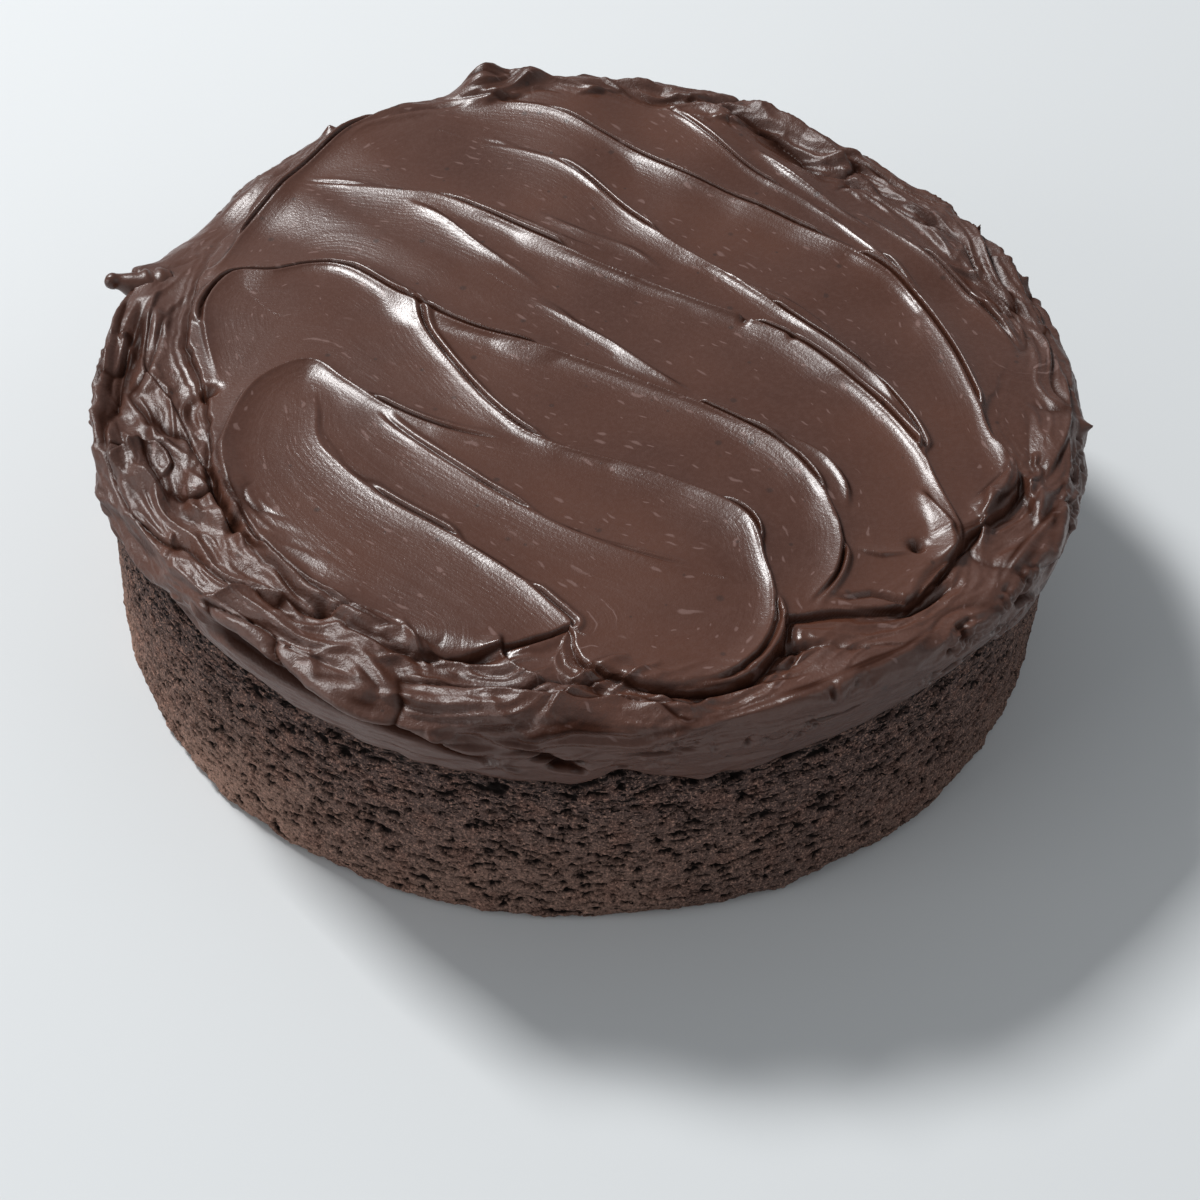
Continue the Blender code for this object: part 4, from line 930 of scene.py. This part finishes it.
def sponge_side():
    """The sponge's side: points of a grid round and up it, and how deep each lies in pores or cracks, with
    the painted shadow under the frosting, for the material's painted shade.
    """
    rng = np.random.default_rng(SEED + 1)
    turn = np.arange(SPONGE_COLUMNS) / SPONGE_COLUMNS * 360.0 - 180.0
    z = SPONGE_HEIGHT * np.linspace(0.0, 1.0, SPONGE_ROWS + 1)
    angle, height = (grid.ravel() for grid in np.meshgrid(turn, z))
    cosine, sine = np.cos(np.radians(angle)), np.sin(np.radians(angle))
    base = np.stack([SPONGE_RADIUS * cosine, SPONGE_RADIUS * sine, height], 1)

    arc = np.radians(angle) * SPONGE_RADIUS + layered(base, WOBBLE_ACROSS)
    level = height + layered(base, WOBBLE_UP)
    edge = around(turn, LOWER_EDGE)
    pores_and_painted_shade = np.zeros((SPONGE_ROWS + 1, SPONGE_COLUMNS))
    arc = arc.reshape(pores_and_painted_shade.shape)
    level = level.reshape(pores_and_painted_shade.shape)
    half_round = math.pi * SPONGE_RADIUS
    column_width = 2 * half_round / SPONGE_COLUMNS
    row_height = SPONGE_HEIGHT / SPONGE_ROWS
    for _ in range(PORES):
        column = rng.integers(SPONGE_COLUMNS)
        level_share = rng.uniform(*PORE_LEVELS) ** PORE_LEVEL_POWER
        middle_z = level_share * rng.uniform(PORE_LOWEST, edge[column] + 1.0)
        near_edge = bell(edge[column] - middle_z, PORE_EDGE_REACH)
        largeness = rng.random() ** PORE_SIZE_POWER * (0.5 + near_edge)
        size = PORE_SIZE[0] + (PORE_SIZE[1] - PORE_SIZE[0]) * largeness
        stretch = rng.uniform(*PORE_STRETCH)
        middle_arc = math.radians(turn[column]) * SPONGE_RADIUS
        half_columns = int(size * stretch / column_width) + 3
        columns = np.arange(column - half_columns, column + half_columns + 1) % SPONGE_COLUMNS
        low = max(0, int((middle_z - size - PORE_SURROUND) / row_height))
        high = min(SPONGE_ROWS, int((middle_z + size + PORE_SURROUND) / row_height) + 1)
        part = np.ix_(range(low, high), columns)
        across = (arc[part] - middle_arc + half_round) % (2 * half_round) - half_round
        distance2 = (across / (0.5 * size * stretch)) ** 2 + ((level[part] - middle_z) / (0.5 * size)) ** 2
        bowl = np.clip(PORE_WALL * (1.0 - distance2), 0.0, 1.0)
        deepest = min(1.0, PORE_FLOOR[0] + PORE_FLOOR[1] * size)
        pores_and_painted_shade[part] = np.maximum(pores_and_painted_shade[part], bowl * deepest)
    pores_and_painted_shade = pores_and_painted_shade.ravel()
    edge_height = around(angle, LOWER_EDGE)
    near_edge = np.exp(-np.maximum(edge_height - height, 0.0) / CRACK_EDGE_REACH)
    crumb = rough(base / np.array(CRACK_SIZE) + CRACK_BEND * noise(base / CRACK_BEND_SIZE, 36)[:, None], 37)
    cracked = (crumb - CRACK_LEVEL + CRACK_MORE_AT_EDGE * near_edge) / CRACK_SOFTNESS
    pores_and_painted_shade = np.maximum(pores_and_painted_shade, smooth_step(cracked))
    # painted shadow: the crumb right under the frosting is darkened along with the pores
    shade = EDGE_SHADE * np.exp(-np.maximum(edge_height - height, 0.0) / EDGE_SHADE_REACH)

    share = height / SPONGE_HEIGHT
    radius = SPONGE_RADIUS + (SPONGE_TOP_RADIUS - SPONGE_RADIUS) * share
    fine_height, fine_size, fine_seed = FINE_LUMPS
    radius = radius + fine_height * rough(base / fine_size, fine_seed) + layered(base, LUMPS)
    deeper = np.clip(noise(base / PORE_DEEPER_SIZE, 45), 0.0, 1.0)
    radius = radius - pores_and_painted_shade * (PORE_DEPTH + PORE_DEEPER * deeper)
    low = 1.0 - smooth_step(height / FOOT_REACH)
    for middle, half_width, depth in FOOT_CHIPS:
        away = (angle - middle + 180.0) % 360.0 - 180.0
        radius = radius - depth * low * bell(away, half_width)
    radius = radius - low * FOOT_LUMP_HEIGHT * np.clip(rough(base / FOOT_LUMP_SIZE, 46), *FOOT_LUMP_RANGE)
    radius = radius - SPONGE_FOOT_ROUND * (1.0 - np.clip(height / SPONGE_FOOT_ROUND, 0.0, 1.0)) ** 2
    return np.stack([radius * cosine, radius * sine, height], 1), np.maximum(pores_and_painted_shade, shade)


def make_sponge():
    """The sponge: a porous side, a flat base and a plain top that the frosting hides."""
    points, pores_and_painted_shade = sponge_side()
    rows = SPONGE_ROWS + 1
    quads = ring_faces(0, SPONGE_COLUMNS, SPONGE_ROWS)[:, ::-1]
    base_cap = list(range(SPONGE_COLUMNS - 1, -1, -1))
    top_start = SPONGE_ROWS * SPONGE_COLUMNS
    top_cap = list(range(top_start, rows * SPONGE_COLUMNS))
    sponge = mesh_object("sponge_crumb", points, quads, [base_cap, top_cap])
    keep_values(sponge, "pores_and_painted_shade", pores_and_painted_shade)
    sponge.data.materials.append(sponge_material())
    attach(sponge, "root")
    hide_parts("sponge")


class Nodes:
    """Short calls that add and join a material's nodes."""

    def __init__(self, name):
        self.material = bpy.data.materials.new(name)
        self.material.use_nodes = True
        self.tree = self.material.node_tree
        self.shader = self.tree.nodes["Principled BSDF"]
        self.place = self.add("ShaderNodeTexCoord").outputs["Object"]

    def add(self, kind, **values):
        node = self.tree.nodes.new(kind)
        for key, value in values.items():
            setattr(node, key, value)
        return node

    def link(self, source, target):
        self.tree.links.new(source, target)

    def scaled(self, vector, scale):
        node = self.add("ShaderNodeVectorMath", operation="MULTIPLY")
        node.inputs[1].default_value = scale
        self.link(vector, node.inputs[0])
        return node.outputs["Vector"]

    def spots(self, vector, inner, outer, chosen, dimensions="3D"):
        """Spots of many sizes in random cells: 1 inside the inner radius and 0 outside the outer one."""
        node = self.add("ShaderNodeTexVoronoi", voronoi_dimensions=dimensions)
        node.inputs["Scale"].default_value = 1.0
        self.link(vector, node.inputs["Vector"])
        split = self.add("ShaderNodeSeparateColor")
        self.link(node.outputs["Color"], split.inputs["Color"])
        picked = self.maths("GREATER_THAN", split.outputs["Red"], chosen)
        size = self.maths("ADD", self.maths("POWER", split.outputs["Green"], 2.0), 0.5)
        distance = self.maths("DIVIDE", node.outputs["Distance"], size)
        return self.maths("MULTIPLY", self.ramp(distance, inner, outer, 1.0, 0.0), picked)

    def noise(self, scale, detail=2.0, vector=None, roughness=0.5):
        node = self.add("ShaderNodeTexNoise")
        node.inputs["Scale"].default_value = scale
        node.inputs["Detail"].default_value = detail
        node.inputs["Roughness"].default_value = roughness
        self.link(vector or self.place, node.inputs["Vector"])
        return node.outputs["Fac"]

    def noise_colour(self, scale):
        """Three noises in one vector."""
        node = self.add("ShaderNodeTexNoise")
        node.inputs["Scale"].default_value = scale
        self.link(self.place, node.inputs["Vector"])
        return node.outputs["Color"]

    def ramp(self, value, low, high, start=0.0, end=1.0):
        """The value taken from low..high to start..end and kept inside it."""
        node = self.add("ShaderNodeMapRange")
        node.inputs["From Min"].default_value = low
        node.inputs["From Max"].default_value = high
        node.inputs["To Min"].default_value = start
        node.inputs["To Max"].default_value = end
        self.link(value, node.inputs["Value"])
        return node.outputs["Result"]

    def maths(self, operation, first, second):
        node = self.add("ShaderNodeMath", operation=operation)
        for socket, value in zip(node.inputs, (first, second)):
            if isinstance(value, (int, float)):
                socket.default_value = value
            else:
                self.link(value, socket)
        return node.outputs["Value"]

    def mix(self, share, first, second):
        """A colour between two others."""
        node = self.add("ShaderNodeMix", data_type="RGBA")
        self.link(share, node.inputs["Factor"])
        for name, value in (("A", first), ("B", second)):
            socket = [s for s in node.inputs if s.name == name and s.type == "RGBA"][0]
            if isinstance(value, tuple):
                socket.default_value = (*value, 1.0)
            else:
                self.link(value, socket)
        return [s for s in node.outputs if s.type == "RGBA"][0]

    def bump(self, height, strength, distance, normal=None):
        node = self.add("ShaderNodeBump")
        node.inputs["Strength"].default_value = strength
        node.inputs["Distance"].default_value = distance
        self.link(height, node.inputs["Height"])
        if normal is not None:
            self.link(normal, node.inputs["Normal"])
        return node.outputs["Normal"]


def frosting_material():
    """Satin chocolate frosting: fine grain in the sheen, short nicks along the strokes, tiny bubbles and
    creases darkened as painted shade.
    """
    n = Nodes("chocolate_frosting_satin")
    broad = n.noise(28.0, 3.0)
    fine = n.noise(900.0, 2.0)
    base = n.mix(n.ramp(broad, 0.35, 0.65), FROSTING_DARKER, FROSTING_LIGHTER)
    colour = n.mix(n.ramp(fine, 0.4, 0.75, 0.0, 0.35), base, FROSTING_GRAIN)
    stroke = n.add("ShaderNodeAttribute", attribute_name="stroke").outputs["Vector"]
    apart = n.add("ShaderNodeSeparateXYZ")
    n.link(stroke, apart.inputs["Vector"])
    clear = apart.outputs["Z"]
    bent = n.add("ShaderNodeVectorMath", operation="ADD")
    n.link(n.scaled(n.noise_colour(160.0), (4.0, 4.0, 0.0)), bent.inputs[0])
    n.link(stroke, bent.inputs[1])
    nicks = n.spots(n.scaled(bent.outputs["Vector"], (0.50, 0.15, 0.0)), 0.09, 0.17, 0.55, "2D")
    nicks = n.maths("MULTIPLY", nicks, clear)
    bubbles = n.spots(n.scaled(n.place, (300.0, 300.0, 300.0)), 0.10, 0.20, 0.80)
    colour = n.mix(n.maths("MULTIPLY", nicks, 0.65), colour, NICK_COLOUR)
    # painted shade: the tiny bubbles are darkened in the colour
    colour = n.mix(n.maths("MULTIPLY", bubbles, 0.6), colour, BUBBLE_PAINTED_SHADE)
    shade = n.add("ShaderNodeAttribute", attribute_name="shade").outputs["Fac"]
    # painted shade: the creases, crest feet, grooves, hollows, gaps and pits are darkened in the colour, and
    # their sheen lowered
    colour = n.mix(n.maths("MULTIPLY", shade, 0.85), colour, CREASE_PAINTED_SHADE)
    n.link(colour, n.shader.inputs["Base Color"])
    n.link(n.ramp(shade, 0.1, 0.8, 0.55, 0.05), n.shader.inputs["Specular IOR Level"])
    torn = n.ramp(n.add("ShaderNodeAttribute", attribute_name="torn").outputs["Fac"], 0.0, 0.8)
    rough_share = n.ramp(n.noise(45.0, 3.0), 0.3, 0.7, 0.25, 0.34)
    n.link(n.maths("ADD", rough_share, n.maths("MULTIPLY", torn, 0.11)), n.shader.inputs["Roughness"])

    normal = n.bump(n.noise(1700.0, 3.0, roughness=0.65), 0.6, 0.00010)
    normal = n.bump(n.maths("MULTIPLY", n.noise(1100.0, 3.0, roughness=0.7), torn), 0.5, 0.0003, normal)
    lines = n.maths("MULTIPLY", n.noise(1.0, 3.0, n.scaled(stroke, (1.5, 0.16, 0.0))), clear)
    normal = n.bump(lines, 0.3, 0.0002, normal)
    normal = n.bump(nicks, -1.0, 0.0012, normal)
    n.link(n.bump(bubbles, -1.0, 0.0015, normal), n.shader.inputs["Normal"])
    return n.material


def sponge_material():
    """Dark, matt, open crumb: painted shade inside the pores and holes and right under the frosting, a
    lighter crust near the foot that is stronger on the left as painted light, and reddish grains.
    """
    n = Nodes("sponge_open_crumb")
    split = n.add("ShaderNodeSeparateXYZ")
    n.link(n.place, split.inputs["Vector"])
    low = n.ramp(split.outputs["Z"], 0.003, 0.038, 1.0, 0.0)
    # painted light: the crust colour is stronger on the left, where the light falls
    left = n.ramp(split.outputs["X"], -0.08, 0.05, 1.0, 0.35)
    patch = n.ramp(n.noise(38.0, 3.0), 0.38, 0.62, 0.45, 1.0)
    crust_and_painted_light = n.maths("MULTIPLY", n.maths("MULTIPLY", low, left), patch)
    base = n.mix(crust_and_painted_light, CRUMB_COLOUR, CRUST_WITH_PAINTED_LIGHT)
    colour = n.mix(n.ramp(n.noise(170.0, 3.0), 0.50, 0.66, 0.0, 0.5), base, CRUMB_REDDISH)
    grain = n.noise(1900.0, 3.0, roughness=0.75)
    colour = n.mix(n.ramp(grain, 0.54, 0.66, 0.0, 0.9), colour, GRAIN_LIGHT)
    colour = n.mix(n.ramp(grain, 0.48, 0.36, 0.0, 0.75), colour, GRAIN_DARK)
    wide = n.scaled(n.place, (560.0, 560.0, 1500.0))
    open_share = n.ramp(split.outputs["Z"], 0.010, 0.046, 0.64, 0.525)
    holes = n.ramp(n.maths("SUBTRACT", n.noise(1.0, 3.0, wide, 0.6), open_share), 0.0, 0.035)
    specks = n.ramp(n.noise(1.0, 2.0, n.scaled(n.place, (1300.0, 1300.0, 1900.0))), 0.66, 0.70)
    # painted shade: holes, pores, cracks and the band under the frosting are darkened in the colour, together
    # with small dark specks
    held = n.add("ShaderNodeAttribute", attribute_name="pores_and_painted_shade")
    painted_shade_and_specks = n.maths("MAXIMUM", n.maths("MAXIMUM", holes, n.maths("MULTIPLY", specks, 0.8)),
                   n.ramp(held.outputs["Fac"], 0.05, 0.6))
    colour = n.mix(painted_shade_and_specks, colour, PAINTED_SHADE_AND_SPECKS)
    n.link(colour, n.shader.inputs["Base Color"])
    n.shader.inputs["Roughness"].default_value = 0.85
    n.shader.inputs["Specular IOR Level"].default_value = 0.15
    normal = n.bump(n.noise(1500.0, 3.0, roughness=0.7), 0.7, 0.0004)
    n.link(n.bump(holes, -0.9, 0.0008, normal), n.shader.inputs["Normal"])
    return n.material


def plain_material(name, colour, roughness):
    n = Nodes(name)
    n.shader.inputs["Base Color"].default_value = (*colour, 1.0)
    n.shader.inputs["Roughness"].default_value = roughness
    return n.material


def make_stage():
    """A plain pale floor, soft light from above and behind on the left, and a pale surround."""
    mesh = bpy.data.meshes.new("floor")
    ways = ((-1, -1), (1, -1), (1, 1), (-1, 1))
    mesh.from_pydata([(x * FLOOR_HALF, y * FLOOR_HALF, 0) for x, y in ways], [], [(0, 1, 2, 3)])
    floor = bpy.data.objects.new("floor", mesh)
    bpy.context.scene.collection.objects.link(floor)
    mesh.materials.append(plain_material("pale_floor", FLOOR_COLOUR, 0.8))

    for name, place, size, power in LIGHTS:
        lamp = bpy.data.lights.new(name, "AREA")
        lamp.size = size
        lamp.energy = power
        made = bpy.data.objects.new(name, lamp)
        made.location = place
        made.rotation_euler = (Vector(LIGHT_TARGET) - Vector(place)).to_track_quat("-Z", "Y").to_euler()
        bpy.context.scene.collection.objects.link(made)

    world = bpy.data.worlds.new("surround")
    world.use_nodes = True
    world.node_tree.nodes["Background"].inputs["Color"].default_value = SURROUND_COLOUR
    world.node_tree.nodes["Background"].inputs["Strength"].default_value = SURROUND_STRENGTH
    bpy.context.scene.world = world
    bpy.context.scene.view_settings.view_transform = "Standard"


def make_camera():
    data = bpy.data.cameras.new("camera")
    data.lens = CAMERA_LENS
    data.sensor_width = CAMERA_SENSOR
    camera = bpy.data.objects.new("camera", data)
    camera.location = CAMERA_PLACE
    camera.rotation_euler = [math.radians(a) for a in CAMERA_TURN]
    bpy.context.scene.collection.objects.link(camera)
    bpy.context.scene.camera = camera


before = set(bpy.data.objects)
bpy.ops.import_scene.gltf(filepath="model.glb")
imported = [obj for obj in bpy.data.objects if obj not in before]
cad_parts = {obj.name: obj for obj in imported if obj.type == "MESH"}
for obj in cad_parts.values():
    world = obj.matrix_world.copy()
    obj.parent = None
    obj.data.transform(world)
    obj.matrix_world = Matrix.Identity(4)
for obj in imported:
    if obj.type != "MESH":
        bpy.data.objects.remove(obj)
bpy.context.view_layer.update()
make_camera()
make_stage()
make_frosting()
make_blob()
make_sponge()
